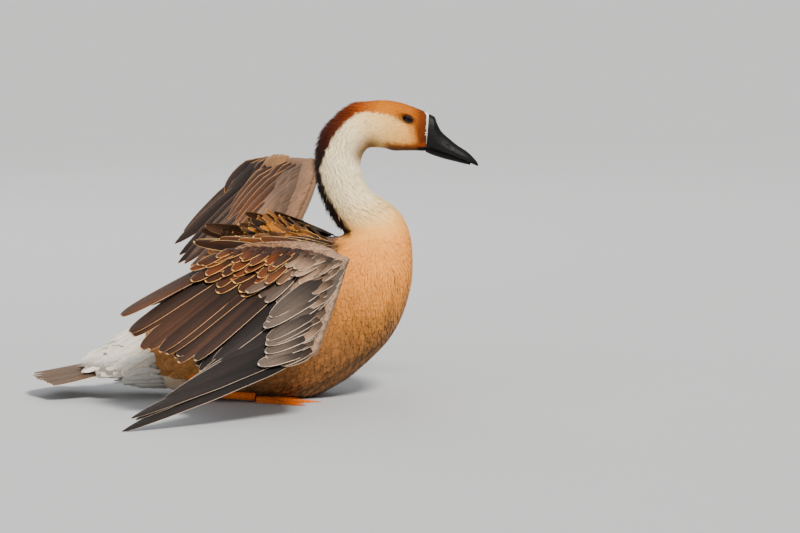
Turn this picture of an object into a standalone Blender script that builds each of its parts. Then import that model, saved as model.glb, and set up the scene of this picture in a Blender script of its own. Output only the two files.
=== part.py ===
"""A swan goose afloat, rearing up to shake: right wing drooped half open, left wing raised.

Life size. +X is the way the bird faces, +Y its left, +Z up, and the belly rests on Z = 0.
"""
import math

import bmesh
import bpy
import numpy as np
from mathutils import Vector
from mathutils.bvhtree import BVHTree

MM = 0.001
GAP = 0.3 * MM
MERGE = 0.05 * MM
CREASE = math.radians(40)

# Body rings from the bill's root to the tail's root, in millimetres: where the ring meets the
# back (x, z), where it meets the throat, breast or belly (x, z), and half its width.
BODY_RINGS = [
    ("bill root", (187, 367.5), (183, 318.5), 13.5),
    ("brow", (176, 372.5), (170, 319), 17.5),
    ("eye", (162, 378), (156, 319), 20),
    ("crown", (147, 382.5), (142, 319), 22.5),
    ("cheek", (129, 385), (129, 322), 24.5),
    ("nape", (110, 384), (118, 323), 25.5),
    ("neck 1", (93, 381), (110, 322), 26),
    ("neck 2", (76.5, 372), (105, 318), 26.5),
    ("neck 3", (62, 359), (102, 313), 27),
    ("neck 4", (50, 344), (100, 307), 27.5),
    ("neck 5", (43, 325), (99, 300), 28),
    ("neck 6", (41, 306), (100, 293), 28.5),
    ("neck 7", (42, 287), (102, 285), 28.5),
    ("neck 8", (46, 269), (106, 276), 28.5),
    ("neck 9", (52, 252), (113, 267), 29),
    ("neck 10", (60, 237), (124, 259), 30),
    ("neck 11", (68, 224), (138, 250), 33),
    ("neck root", (75, 213), (152, 235), 38),
    ("breast 1", (70, 208), (162, 212), 50),
    ("breast 2", (58, 206), (166, 183), 64),
    ("breast 3", (43, 205), (165, 150), 76),
    ("breast 4", (26, 204), (156, 113), 85),
    ("breast 5", (6, 201), (139, 79), 91),
    ("belly 1", (-17, 196), (112, 48), 94),
    ("belly 2", (-43, 188), (78, 20), 95),
    ("belly 3", (-70, 177), (34, -2), 92),
    ("belly 4", (-99, 161), (-20, -7), 86),
    ("belly 5", (-130, 140), (-74, -7), 77),
    ("vent 1", (-160, 117), (-119, -1), 65),
    ("vent 2", (-186, 96), (-158, 12), 51),
    ("tail root 1", (-207, 79), (-189, 27), 37),
    ("tail root 2", (-223, 66), (-214, 36), 24),
]
RING_NAMES = [ring[0] for ring in BODY_RINGS]
RING_POINTS = 24
BODY_SQUARENESS = 2.15

# Bill rings: culmen (x, z), cutting edge (x, z), half width. The lower bill's run the other way.
UPPER_BILL = [
    ((194.3, 361.5), (187.8, 322.0), 13.2),
    ((197.6, 354.5), (193.1, 320.6), 13.2),
    ((203.4, 344.0), (199.6, 318.7), 13),
    ((214.0, 334.2), (210.0, 315.4), 12.6),
    ((224.4, 325.8), (221.0, 311.2), 11.8),
    ((235.0, 319.0), (232.1, 307.0), 10.6),
    ((243.0, 312.0), (241.0, 303.5), 8.8),
    ((248.3, 305.5), (246.8, 300.8), 6.4),
    ((251.0, 300.6), (250.2, 299.0), 2.6),
]
LOWER_BILL = [
    ((191.6, 318.6), (190.4, 313.6), 11.2),
    ((209.4, 313.3), (207.2, 308.4), 10.6),
    ((221.0, 309.2), (219.4, 305.4), 9.6),
    ((232.2, 305.2), (231.2, 302.4), 8),
    ((240.6, 301.9), (240.0, 300.4), 5),
]
BILL_ROOT_SHARES = {"upper": (0.125, 0.985), "lower": (0.0, 0.105)}
NOSTRIL = dict(x=214, z=325.5, out=10.5, long=4.2, high=1.9, deep=2.2, slope=-0.62)

EYE_RADIUS, EYE_PLACE = 7.5, (160, 12.9, 361)
LID_RING, LID_THICK, LID_HIGH, LID_OUT = 5.9, 1.15, 0.76, 17.6

HUMERUS, FOREARM, HAND = 164, 147, 143
WINGS = {
    "right": dict(
        side=-1,
        shoulder=(75, -50, 178),
        humerus=(-0.875, -0.474, 0.091),
        forearm=(0.99, -0.13, -0.055),
        hand=(-0.24, -0.66, -0.71),
        notch=(56, -104, 188),
        web=(0.06, 0.07, 0.995),
        hand_back=[(1.0, (0.05, -0.74, 0.67)), (2.0, (0.10, -0.75, 0.66))],
        tilts=(-10, 14, -16),
        lie=[
            (-0.85, (-0.98, -0.06, -0.14)),
            (-0.4, (-0.93, -0.24, -0.28)),
            (0.0, (-0.80, -0.40, -0.45)),
            (0.5, (-0.68, -0.52, -0.51)),
            (1.0, (-0.70, -0.505, -0.505)),
            (1.5, (-0.80, -0.475, -0.39)),
            (2.0, (-0.875, -0.42, -0.28)),
        ],
        back=[
            (-0.85, (-0.14, 0.0, 0.99)),
            (-0.4, (-0.26, 0.04, 0.96)),
            (0.0, (-0.04, -0.62, 0.78)),
            (0.6, (-0.02, -0.67, 0.74)),
            (1.0, (0.02, -0.70, 0.71)),
        ],
    ),
    "left": dict(
        side=1,
        shoulder=(72, 50, 180),
        humerus=(-0.56, 0.825, -0.05),
        forearm=(0.31, 0.628, 0.714),
        hand=(-0.43, 0.895, 0.0),
        notch=(4, 160, 200),
        web=(-0.69, -0.40, 0.60),
        hand_back=[(1.0, (-0.73, -0.30, 0.61)), (2.0, (-0.89, -0.41, 0.17))],
        tilts=(14, 14, 12),
        lie=[
            (-0.85, (-0.93, 0.06, -0.36)),
            (-0.4, (-0.84, -0.03, -0.54)),
            (0.0, (-0.77, -0.02, -0.64)),
            (0.5, (-0.74, 0.08, -0.67)),
            (1.0, (-0.73, 0.25, -0.63)),
            (1.5, (-0.62, 0.54, -0.565)),
            (2.0, (-0.50, 0.74, -0.44)),
        ],
        back=[
            (-0.85, (-0.36, 0.10, 0.93)),
            (-0.4, (-0.54, -0.20, 0.82)),
            (0.0, (-0.645, -0.444, 0.621)),
            (0.6, (-0.67, -0.40, 0.62)),
            (1.0, (-0.72, -0.32, 0.61)),
        ],
    ),
}


# How long a flight feather is, and how wide, along the wing: -1 shoulder, 0 elbow, 1 wrist, 2 tip.
FLIGHT_LONG = ([-0.85, -0.4, 0, 0.2, 0.6, 1, 1.3, 1.7, 2], [112, 135, 158, 188, 206, 222, 244, 264, 268])

# Feather plates: places along the feather, share of its full width there, lanes across it,
# thickness at quill, middle and tip, and how far its tip is rounded.
LONG_VANE = dict(stations=[0, 0.3, 0.8, 1], widths=[0.16, 0.85, 1, 0.42], lanes=[-0.6, 0, 0.4],
                 thick=[1.8, 0.8, 0.7], bulge=0.3, round=0.2)
PRIMARY_VANE = dict(stations=[0, 0.2, 0.6, 0.9, 1], widths=[0.2, 0.75, 1, 0.75, 0.3],
                    lanes=[-0.62, 0, 0.38], thick=[2.2, 0.9, 0.7], bulge=0.3, round=0.2)
COVERT_VANE = dict(stations=[0, 0.55, 1], widths=[0.36, 1, 0.5], lanes=[-0.5, 0.5],
                   thick=[1.8, 0.8, 0.7], bulge=0.0, round=0.1)

# Flesh ahead of the bone, behind it and through it, from elbow to hand tip.
FOREARM_FLESH = ([-0.1, 0.3, 0.7, 1, 1.3, 2.05],
                 [(26, 18, 22), (40, 17, 25), (34, 16, 23), (13, 15, 20), (11, 13, 16), (5, 9, 9)])

HUMERALS = dict(span=(-0.82, -0.08), count=7, wide=52, back=4, high=0)
SECONDARIES = dict(span=(0.04, 0.95), count=13, wide=38, back=4, high=-1)
PRIMARIES = dict(span=(1.05, 1.98), count=10, wide=26, back=2, high=-1)
# Rows of coverts: where on the wing, how far ahead of its rear edge, how steeply they climb.
TIERS = [
    dict(span=(0.0, 0.96), count=12, ahead=20, long=86, wide=32, step=0.08, tilt=13, rise=5),
    dict(span=(1.06, 1.92), count=8, ahead=14, long=76, wide=24, step=0.1, tilt=12, rise=4),
    dict(span=(0.0, 0.86), count=9, ahead=36, long=58, wide=28, step=0.1, tilt=12, rise=8),
    dict(span=(0.1, 0.64), count=6, ahead=50, long=42, wide=27, step=0.1, tilt=10, rise=7),
    dict(span=(-0.75, -0.2), count=4, ahead=24, long=46, wide=30, step=0.13, tilt=8, rise=5),
    dict(span=(-0.7, -0.25), count=4, ahead=42, long=40, wide=29, step=0.13, tilt=8, rise=5),
]
ALULA = dict(places=(1.05, 1.13), long=72, wide=20, tilt=10)
ROOT_DEEP = 3
WING_SOLVER = "MANIFOLD"

TAIL_PAIRS, TAIL_PITCH, TAIL_FAN = 8, -11, 3.5
# Rows of small feathers: x, each one's y, pitch, turn for each mm off the middle, length, below.
TAIL_COVERTS = [
    (-196, (-21, -7, 7, 21), -25, 0.5, 62, False),
    (-178, (-27, -14, 0, 14, 27), -27, 0.3, 46, False),
    (-186, (-18, -6, 6, 18), -1, 0.4, 72, True),
]
MANTLE = [
    (46, (-24, -8, 8, 24), 43, 64),
    (26, (-33, -16.5, 0, 16.5, 33), 29, 62),
    (4, (-27, -9, 9, 27), 16, 58),
    (-20, (-36, -18, 0, 18, 36), 6, 56),
]

# A tucked foot: where the toes meet, its three toes (turn in degrees, reach, with claw), its web.
FOOT_AT = (-36, 72)
TOES = [(-30, 66), (0, 84), (27, 72)]
TOE_HIGH, WEB_HIGH, CLAW_LONG = 6.5, 1.8, 8
LEG_PATH = [
    ((-37.3, 72, 6.8), 5.2),
    ((-58, 71, 8.0), 4.9),
    ((-80, 69, 9.5), 5.0),
    ((-98, 67, 10.5), 5.6),
    ((-111, 65.8, 13.5), 6.2),
    ((-118, 64.5, 20.5), 6.6),
    ((-116, 63, 29.5), 7.0),
    ((-108, 61, 37), 7.4),
    ((-97, 59, 42), 7.6),
]


def unit(v):
    v = np.asarray(v, float)
    return v / np.linalg.norm(v)


def smooth_table(knots, values, at):
    """Catmull-Rom through values given at knots, read at the places in at."""
    knots, values, at = (np.asarray(a, float) for a in (knots, values, at))
    values = values.reshape(len(knots), -1)
    slopes = np.gradient(values, knots, axis=0)
    i = np.clip(np.searchsorted(knots, at, side="right") - 1, 0, len(knots) - 2)
    step = (knots[i + 1] - knots[i])[:, None]
    u = ((at - knots[i]) / step[:, 0])[:, None]
    return (
        (2 * u**3 - 3 * u**2 + 1) * values[i]
        + (u**3 - 2 * u**2 + u) * step * slopes[i]
        + (3 * u**2 - 2 * u**3) * values[i + 1]
        + (u**3 - u**2) * step * slopes[i + 1]
    )


def material(name, colour, roughness):
    found = bpy.data.materials.get(name)
    if found:
        return found
    made = bpy.data.materials.new(name)
    made.use_nodes = True
    shader = made.node_tree.nodes["Principled BSDF"]
    shader.inputs["Base Color"].default_value = (*colour, 1)
    shader.inputs["Roughness"].default_value = roughness
    return made


def mesh_object(name, points, faces, finish=None):
    """An object whose mesh has these points, in millimetres, with its faces turned outwards."""
    mesh = bpy.data.meshes.new(name)
    mesh.from_pydata([Vector(p) * MM for p in np.asarray(points, float)], [], faces)
    mesh.validate()
    shape = bmesh.new()
    shape.from_mesh(mesh)
    bmesh.ops.recalc_face_normals(shape, faces=shape.faces)
    shape.to_mesh(mesh)
    shape.free()
    made = bpy.data.objects.new(name, mesh)
    bpy.context.scene.collection.objects.link(made)
    if finish:
        mesh.materials.append(finish)
    return made


def loft(name, rings, finish=None):
    """A closed skin through rings of equally many points, with a flat cap on each end."""
    count = len(rings[0])
    faces = [
        (r * count + i, r * count + (i + 1) % count, (r + 1) * count + (i + 1) % count,
         (r + 1) * count + i)
        for r in range(len(rings) - 1)
        for i in range(count)
    ]
    last = (len(rings) - 1) * count
    faces += [tuple(range(count))[::-1], tuple(range(last, last + count))]
    return mesh_object(name, np.concatenate(rings), faces, finish)


def evaluated_mesh(thing):
    bpy.context.view_layer.update()
    graph = bpy.context.evaluated_depsgraph_get()
    return bpy.data.meshes.new_from_object(thing.evaluated_get(graph))


def settle(thing):
    """Makes what the object's modifiers show its own mesh."""
    mesh = evaluated_mesh(thing)
    thing.modifiers.clear()
    thing.data = mesh


def flatten_faces(thing):
    """Joins corners that nearly meet and splits faces into triangles, so that each is flat."""
    shape = bmesh.new()
    shape.from_mesh(thing.data)
    bmesh.ops.remove_doubles(shape, verts=shape.verts, dist=MERGE)
    bmesh.ops.triangulate(shape, faces=shape.faces)
    shape.to_mesh(thing.data)
    shape.free()


def shade(thing):
    """Round surfaces shaded smooth, with a crease where two faces meet sharply."""
    thing.data.shade_smooth()
    thing.data.set_sharp_from_angle(angle=CREASE)


def combine(base, others, operation, solver="EXACT"):
    """One Boolean of base with a collection of closed meshes, which are then removed."""
    group = bpy.data.collections.new(f"{base.name} {operation.lower()}")
    for other in others:
        group.objects.link(other)
    cut = base.modifiers.new(operation.lower(), "BOOLEAN")
    cut.operation = operation
    cut.operand_type = "COLLECTION"
    cut.collection = group
    cut.solver = solver
    settle(base)
    for other in others:
        bpy.data.objects.remove(other)
    bpy.data.collections.remove(group)
    keep_largest(base)


def keep_largest(thing):
    """Leaves only the closed surface that reaches furthest."""
    shape = bmesh.new()
    shape.from_mesh(thing.data)
    left, islands = set(shape.verts), []
    while left:
        stack, island = [left.pop()], set()
        while stack:
            vert = stack.pop()
            island.add(vert)
            for edge in vert.link_edges:
                other = edge.other_vert(vert)
                if other in left:
                    left.remove(other)
                    stack.append(other)
        islands.append(island)

    def reach(island):
        spots = np.array([v.co[:] for v in island])
        return np.linalg.norm(spots.max(0) - spots.min(0))

    islands.sort(key=reach)
    for island in islands[:-1]:
        bmesh.ops.delete(shape, geom=list(island), context="VERTS")
    shape.to_mesh(thing.data)
    shape.free()


def swollen(thing, name, by=GAP):
    """A hidden copy of a node, pushed out along its normals, that cuts a gap into its neighbours."""
    mesh = evaluated_mesh(thing)
    copy = bpy.data.objects.new(name, mesh)
    shape = bmesh.new()
    shape.from_mesh(mesh)
    shape.normal_update()
    moves = [(v, v.normal * by) for v in shape.verts]
    for vert, move in moves:
        vert.co += move
    shape.to_mesh(mesh)
    shape.free()
    bpy.context.scene.collection.objects.link(copy)
    return copy


def ellipsoid(name, centre, radii, slope=0.0, finish=None, detail=(20, 12)):
    """A ball stretched to three radii, then turned about Y by slope radians."""
    shape = bmesh.new()
    bmesh.ops.create_uvsphere(shape, u_segments=detail[0], v_segments=detail[1], radius=1)
    cos, sin = math.cos(slope), math.sin(slope)
    for vert in shape.verts:
        x, y, z = (c * r for c, r in zip(vert.co, radii))
        vert.co = (
            (centre[0] + x * cos - z * sin) * MM,
            (centre[1] + y) * MM,
            (centre[2] + x * sin + z * cos) * MM,
        )
    mesh = bpy.data.meshes.new(name)
    shape.to_mesh(mesh)
    shape.free()
    made = bpy.data.objects.new(name, mesh)
    bpy.context.scene.collection.objects.link(made)
    if finish:
        mesh.materials.append(finish)
    return made


def body_ring(place, count=RING_POINTS):
    """The skin's ring at a place counted in BODY_RINGS, with the belly pressed flat at Z = 0."""
    table = [(*back, *front, half) for _, back, front, half in BODY_RINGS]
    back_x, back_z, front_x, front_z, half = smooth_table(range(len(table)), table, [place])[0]
    turn = np.linspace(0, 2 * np.pi, count, endpoint=False)
    rise, out = np.cos(turn), np.sin(turn)
    power = 2 / BODY_SQUARENESS
    rise = np.sign(rise) * np.abs(rise) ** power
    out = np.sign(out) * np.abs(out) ** power
    x = (back_x + front_x) / 2 + (back_x - front_x) / 2 * rise
    z = (back_z + front_z) / 2 + (back_z - front_z) / 2 * rise
    return np.stack([x, half * out, np.maximum(z, 0)], 1)


def ring_normal(ring):
    """Which way the skin runs through a ring, towards the tail."""
    across = ring[len(ring) // 4] - ring[3 * len(ring) // 4]
    down = ring[len(ring) // 2] - ring[0]
    return unit(np.cross(across, down))


def body_piece(name, first, last, rings, finish):
    """A length of the body between two named rings, its front cap set back by the gap."""
    places = np.linspace(RING_NAMES.index(first), RING_NAMES.index(last), rings)
    made = [body_ring(p) for p in places]
    if first != RING_NAMES[0]:
        made[0] = made[0] + ring_normal(made[0]) * GAP / MM
    return loft(name, made, finish)


def bill_ring(high, low, half, flip, count=11):
    """An arch from cutting edge to cutting edge over the culmen, or under the chin when flipped."""
    high, low = np.asarray(high, float), np.asarray(low, float)
    edge, crest = (high, low) if flip else (low, high)
    turn = np.linspace(0, np.pi, count)
    rise = np.sin(turn)[:, None]
    spot = edge + (crest - edge) * rise
    return np.stack([spot[:, 0], half * np.cos(turn) * (1 if flip else -1), spot[:, 1]], 1)


def bill_piece(name, table, shares, half, flip, finish):
    back, front = (np.asarray(p, float) for p in BODY_RINGS[0][1:3])
    forward = unit([back[1] - front[1], -(back[0] - front[0])])
    low, high = (front + (back - front) * s + forward * 2 * GAP / MM for s in shares)
    rings = [bill_ring(high, low, half, flip)]
    rings += [bill_ring(*ring, flip) for ring in table]
    return loft(name, rings, finish)


def both_sides(place):
    return [(place[0], side * place[1], place[2]) for side in (-1, 1)]


def make_head(plumage, horn, iris):
    head = body_piece("head", "bill root", "nape", 15, plumage)
    lids = []
    for x, y, z in both_sides((EYE_PLACE[0], LID_OUT, EYE_PLACE[2])):
        bpy.ops.mesh.primitive_torus_add(
            major_segments=16, minor_segments=5, major_radius=LID_RING * MM,
            minor_radius=LID_THICK * MM, location=(x * MM, y * MM, z * MM),
            rotation=(math.pi / 2, 0, 0),
        )
        lid = bpy.context.object
        for vert in lid.data.vertices:
            vert.co.y *= LID_HIGH
        bpy.ops.object.transform_apply(location=True, rotation=True, scale=True)
        lids.append(lid)
    for lid in lids:
        for other in list(lid.users_collection):
            other.objects.unlink(lid)
    combine(head, lids, "UNION")
    sockets = [
        ellipsoid("socket", place, [EYE_RADIUS + GAP / MM] * 3, detail=(14, 8))
        for place in both_sides(EYE_PLACE)
    ]
    combine(head, sockets, "DIFFERENCE")
    for name, place in zip(("eye_right", "eye_left"), both_sides(EYE_PLACE)):
        ellipsoid(name, place, [EYE_RADIUS] * 3, finish=iris, detail=(14, 8))
    upper = bill_piece("bill_upper", UPPER_BILL, BILL_ROOT_SHARES["upper"], 13.2, False, horn)
    nostrils = [
        ellipsoid("nostril", place, (NOSTRIL["long"], NOSTRIL["deep"], NOSTRIL["high"]),
                  NOSTRIL["slope"], detail=(12, 8))
        for place in both_sides((NOSTRIL["x"], NOSTRIL["out"], NOSTRIL["z"]))
    ]
    combine(upper, nostrils, "DIFFERENCE")
    bill_piece("bill_lower", LOWER_BILL, BILL_ROOT_SHARES["lower"], 10.5, True, horn)


def wing_line(wing):
    """Shoulder, elbow, wrist and hand tip of a wing."""
    spots = [np.array(wing["shoulder"], float)]
    for bone, long in (("humerus", HUMERUS), ("forearm", FOREARM), ("hand", HAND)):
        spots.append(spots[-1] + unit(wing[bone]) * long)
    return spots


def wing_frame(wing, t):
    """Bone line, lie of the feathers, upper side and outward direction at t along a wing."""
    line = wing_line(wing)
    i = int(np.clip(math.floor(t + 1), 0, 2))
    spot = line[i] + (line[i + 1] - line[i]) * (t + 1 - i)
    lie = unit(smooth_table(*zip(*wing["lie"]), [max(t, -0.85)])[0])
    table = wing["back"] if t < 1 else wing["hand_back"]
    up = smooth_table(*zip(*table), [max(t, -0.85)])[0]
    up = unit(up - lie * np.dot(up, lie))
    return spot, lie, up, wing["side"] * np.cross(lie, up)


def arm_ring(front, rear, up, thick, count=12):
    """An egg-shaped slice of the arm from its front edge to its rear one."""
    turn = np.linspace(0, 2 * np.pi, count, endpoint=False)
    along = (1 - np.cos(turn)) / 2
    high = np.sin(turn) * (1 - 0.45 * along)
    return front + np.outer(along, rear - front) + np.outer(high * thick / 2, up)


def arm_core(name, wing, finish):
    """The fleshy wing: an upper arm whose front edge is a web of skin, and a forearm and hand."""
    places = [-1, -0.75, -0.5, -0.25, 0, 0.3, 0.6, 0.9]
    rings = [arm_ring(*upper_arm_slice(wing, t)) for t in places]
    rings.insert(0, rings[0] + (0, -25 * wing["side"], -4))
    places = [-0.08, 0.1, 0.35, 0.6, 0.8, 0.96, 1.12, 1.35, 1.6, 1.85, 2.03]
    outer = loft("forearm", [arm_ring(*forearm_slice(wing, t)) for t in places])
    core = loft(name, rings, finish)
    combine(core, [outer], "UNION")
    return core


def vane(name, root, lie, up, out, long, wide, form, tilt=0.0, rise=0.0, droop=0.0, sweep=0.0):
    """One feather: a thin closed plate that widens from its quill and narrows to its tip.

    Its outer edge is raised by tilt degrees, it climbs by rise within its first part, and it
    bends down by droop and sideways by sweep as shares of its length.
    """
    stations = np.array(form["stations"], float)
    widths = np.array(form["widths"], float)
    lanes = np.array(form["lanes"], float)
    climb = np.clip(stations / 0.45, 0, 1)
    climb = climb * climb * (3 - 2 * climb)
    angle = math.radians(tilt)
    top = []
    for u, w, c in zip(stations, widths, climb):
        spine = root + lie * (long * u) + up * (rise * c - droop * long * u * u)
        spine = spine + out * (sweep * long * u * u)
        for lane in lanes:
            off = lane * wide * w
            bulge = form["bulge"] * w * (1 - (lane / max(abs(lanes))) ** 2)
            point = spine + out * (off * math.cos(angle)) + up * (off * math.sin(angle) + bulge)
            top.append(point - lie * form["round"] * wide * abs(lane) * (u > 0.9))
    top = np.array(top)
    thick = np.repeat(np.interp(stations, [0, 0.3, 1], form["thick"]), len(lanes))
    points = np.concatenate([top, top - np.outer(thick, up)])
    rows, cols, half = len(stations), len(lanes), len(top)
    faces = []
    for r in range(rows - 1):
        for c in range(cols - 1):
            p, q = r * cols + c, r * cols + c + 1
            s, t = p + cols, q + cols
            faces += [(p, q, t), (p, t, s), (half + p, half + t, half + q)]
            faces += [(half + p, half + s, half + t)]
    rim = list(range(cols)) + [r * cols + cols - 1 for r in range(1, rows)]
    rim += [(rows - 1) * cols + c for c in range(cols - 2, -1, -1)]
    rim += [r * cols for r in range(rows - 2, 0, -1)]
    for p, q in zip(rim, rim[1:] + rim[:1]):
        faces.append((p, q, half + q, half + p))
    return mesh_object(name, points, faces)


def bend_between(wing, t, step):
    """How many degrees the wing's upper side turns about its feathers within step."""
    _, lie, up, out = wing_frame(wing, t)
    last = 0.999 if t < 1 else 2
    _, _, ahead, _ = wing_frame(wing, min(t + step / 2, last))
    _, _, behind, _ = wing_frame(wing, max(t - step / 2, 1) if t > 1 else t - step / 2)
    return math.degrees(float(np.dot(ahead - behind, out)))


def upper_arm_slice(wing, t):
    """Front edge, rear edge, upper side and thickness of the web and upper arm at t."""
    shoulder, elbow, wrist, tip = wing_line(wing)
    spot, lie, up, out = wing_frame(wing, t)
    s = (t + 1) / 2
    line = [shoulder + (16, 0, 0), np.array(wing["notch"], float), wrist - lie * 8]
    front = smooth_table([0, 0.5, 1], line, [s])[0]
    return front, spot + lie * (18 - 10 * s), unit(wing["web"]), 34 - 24 * s


def forearm_slice(wing, t):
    """Front edge, rear edge, upper side and thickness of the forearm and hand at t."""
    spot, lie, up, out = wing_frame(wing, t)
    ahead, behind, thick = smooth_table(*FOREARM_FLESH, [t])[0]
    return spot - lie * ahead, spot + lie * behind, up, thick


def on_arm(wing, t, ahead):
    """The upper skin this far ahead of the rear edge, and the way it runs back from there."""
    front, rear, up, thick = (upper_arm_slice if t < 0 else forearm_slice)(wing, t)
    chord = np.linalg.norm(front - rear)
    ahead = min(ahead, chord * 0.86)
    skin = []
    for near in (ahead, ahead - 12):
        along = 1 - near / chord
        high = 2 * math.sqrt(along * (1 - along)) * (1 - 0.45 * along) * thick / 2
        skin.append(rear + (front - rear) * (1 - along) + up * high)
    return skin[0], unit(skin[1] - skin[0])


def wing_vanes(wing, rng):
    """Every feather of a wing, from the arm's long ones to the small coverts."""
    vanes = []

    def lay(t, root, long, wide, form, step, tilt, deep=0, run=None, **bend):
        spot, lie, up, out = wing_frame(wing, t)
        if run is not None:
            up = unit(up - run * np.dot(up, run))
            lie, out = run, wing["side"] * np.cross(run, up)
        root = root - up * deep
        tilt = tilt + max(bend_between(wing, t, step), 0) * (tilt > 0)
        long = long * rng.uniform(0.97, 1.03)
        vanes.append(vane("vane", root, lie, up, out, long, wide, form, tilt, **bend))

    kinds = zip((HUMERALS, SECONDARIES, PRIMARIES), (LONG_VANE, LONG_VANE, PRIMARY_VANE),
                (0.07, 0.07, 0.1), wing["tilts"])
    for group, form, step, tilt in kinds:
        for t in np.linspace(*group["span"], group["count"]):
            spot, lie, up, out = wing_frame(wing, t)
            long = smooth_table(*FLIGHT_LONG, [t])[0, 0]
            lay(t, spot + lie * group["back"] + up * group["high"], long, group["wide"], form,
                step, tilt)
    for tier in TIERS:
        for t in np.linspace(*tier["span"], tier["count"]):
            t = t + rng.uniform(-0.004, 0.004)
            skin, run = on_arm(wing, t, tier["ahead"])
            lay(t, skin, tier["long"], tier["wide"], COVERT_VANE, tier["step"], tier["tilt"],
                rise=tier["rise"], deep=ROOT_DEEP, run=run if tier["ahead"] > 40 else None)
    for t in ALULA["places"]:
        spot, lie, up, out = wing_frame(wing, t)
        run = unit(unit(wing["hand"]) + 1.1 * lie)
        lay(t, spot - lie * 7 + up * 5, ALULA["long"], ALULA["wide"], COVERT_VANE, 0.1,
            ALULA["tilt"], rise=3, run=run)
    return vanes


def make_wing(side, finish, torso, rng):
    wing = WINGS[side]
    node = arm_core(f"wing_{side}", wing, finish)
    combine(node, wing_vanes(wing, rng), "UNION", WING_SOLVER)
    combine(node, [swollen(torso, "wing root cut", 1.5 * GAP)], "DIFFERENCE", WING_SOLVER)
    return node


def tube(name, path, finish, count=12):
    """A round limb through centres and radii, each ring square to the path."""
    spots = np.array([p for p, _ in path], float)
    way = np.gradient(spots, axis=0)
    turn = np.linspace(0, 2 * np.pi, count, endpoint=False)
    rings = []
    for (spot, radius), w in zip(path, way):
        w = unit(w)
        a = unit(np.cross((0, 1, 0), w))
        b = np.cross(w, a)
        rings.append(spot + radius * (np.outer(np.cos(turn), a) + np.outer(np.sin(turn), b)))
    return loft(name, rings, finish)


def make_foot(name, side, finish):
    """Three toes and the web between them, flat underneath, as one grid over turn and reach."""
    base = np.array([FOOT_AT[0], side * FOOT_AT[1], 0], float)
    turns, reaches, toeness = [], [], []
    for k in range(len(TOES) - 1):
        (t0, r0), (t1, r1) = TOES[k], TOES[k + 1]
        for u in (0, 0.16, 0.5, 0.84):
            turns.append(t0 + (t1 - t0) * u)
            web = (r0 + (r1 - r0) * u) * (0.86 - 0.1 * math.sin(math.pi * u)) - CLAW_LONG * 0.3
            reaches.append(r0 if u == 0 else web)
            toeness.append(1 if u == 0 else 0)
    turns, reaches, toeness = turns + [TOES[-1][0]], reaches + [TOES[-1][1]], toeness + [1]
    turns = [turns[0] - 5.5] + turns + [turns[-1] + 5.5]
    reaches = [TOES[0][1] * 0.85] + reaches + [TOES[-1][1] * 0.85]
    toeness = [0] + toeness + [0]
    steps = np.array([0, 0.1, 0.3, 0.55, 0.8, 0.92, 1.0])
    top, bottom = [], []
    for turn, reach, toe in zip(turns, reaches, toeness):
        angle = math.radians(turn) * side
        for u in steps:
            near = 6.0 * (turn - TOES[1][0]) / 30
            x, y = 0.5 + u * reach * math.cos(angle), u * reach * math.sin(angle)
            y += near * side * (1 - u) * 0.9
            ridge = TOE_HIGH * (1 - 0.55 * u) * (1 if u < 0.9 else 0.6)
            blend = max(toe, 1 - u * 6)
            high = WEB_HIGH * (1 - 0.45 * u) + blend * (ridge - WEB_HIGH)
            if toe and u == 1:
                high = 0.8
            top.append(base + (x, y, high))
            bottom.append(base + (x, y, 0))
    rows, cols = len(turns), len(steps)
    faces = []
    half = rows * cols
    for r in range(rows - 1):
        for c in range(cols - 1):
            a, b = r * cols + c, r * cols + c + 1
            d, e = a + cols, b + cols
            faces += [(a, b, e, d), (half + a, half + d, half + e, half + b)]
    rim = [c for c in range(cols)] + [r * cols + cols - 1 for r in range(1, rows)]
    rim += [(rows - 1) * cols + c for c in range(cols - 2, -1, -1)]
    rim += [r * cols for r in range(rows - 2, 0, -1)]
    for a, b in zip(rim, rim[1:] + rim[:1]):
        faces.append((a, b, half + b, half + a))
    return mesh_object(name, top + bottom, faces, finish)


def make_leg(name, side, finish, torso):
    path = [((x, side * y, z), r) for (x, y, z), r in LEG_PATH]
    leg = tube(name, path, finish)
    flatten_faces(leg)
    combine(leg, [swollen(torso, "leg root cut")], "DIFFERENCE")
    flatten_faces(leg)


def height_on(thing, x, y, below=False):
    """Where a vertical line at x, y first meets a node, from above or from below."""
    tree = BVHTree.FromObject(thing, bpy.context.evaluated_depsgraph_get())
    start, way = ((x * MM, y * MM, -1), (0, 0, 1)) if below else ((x * MM, y * MM, 1), (0, 0, -1))
    return tree.ray_cast(Vector(start), Vector(way))[0].z / MM


def pitched(pitch, yaw, roll=0):
    """The lie, upper side and left-hand side of a feather pointing back, raised and turned."""
    pitch, yaw, roll = math.radians(pitch), math.radians(yaw), math.radians(roll)
    lie = np.array([-math.cos(pitch) * math.cos(yaw), math.cos(pitch) * math.sin(yaw),
                    math.sin(pitch)])
    up = unit(np.array([0, 0, 1]) - lie * lie[2])
    left = np.cross(up, lie)
    return lie, up * math.cos(roll) + left * math.sin(roll), left * math.cos(roll) - up * math.sin(roll)


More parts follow.
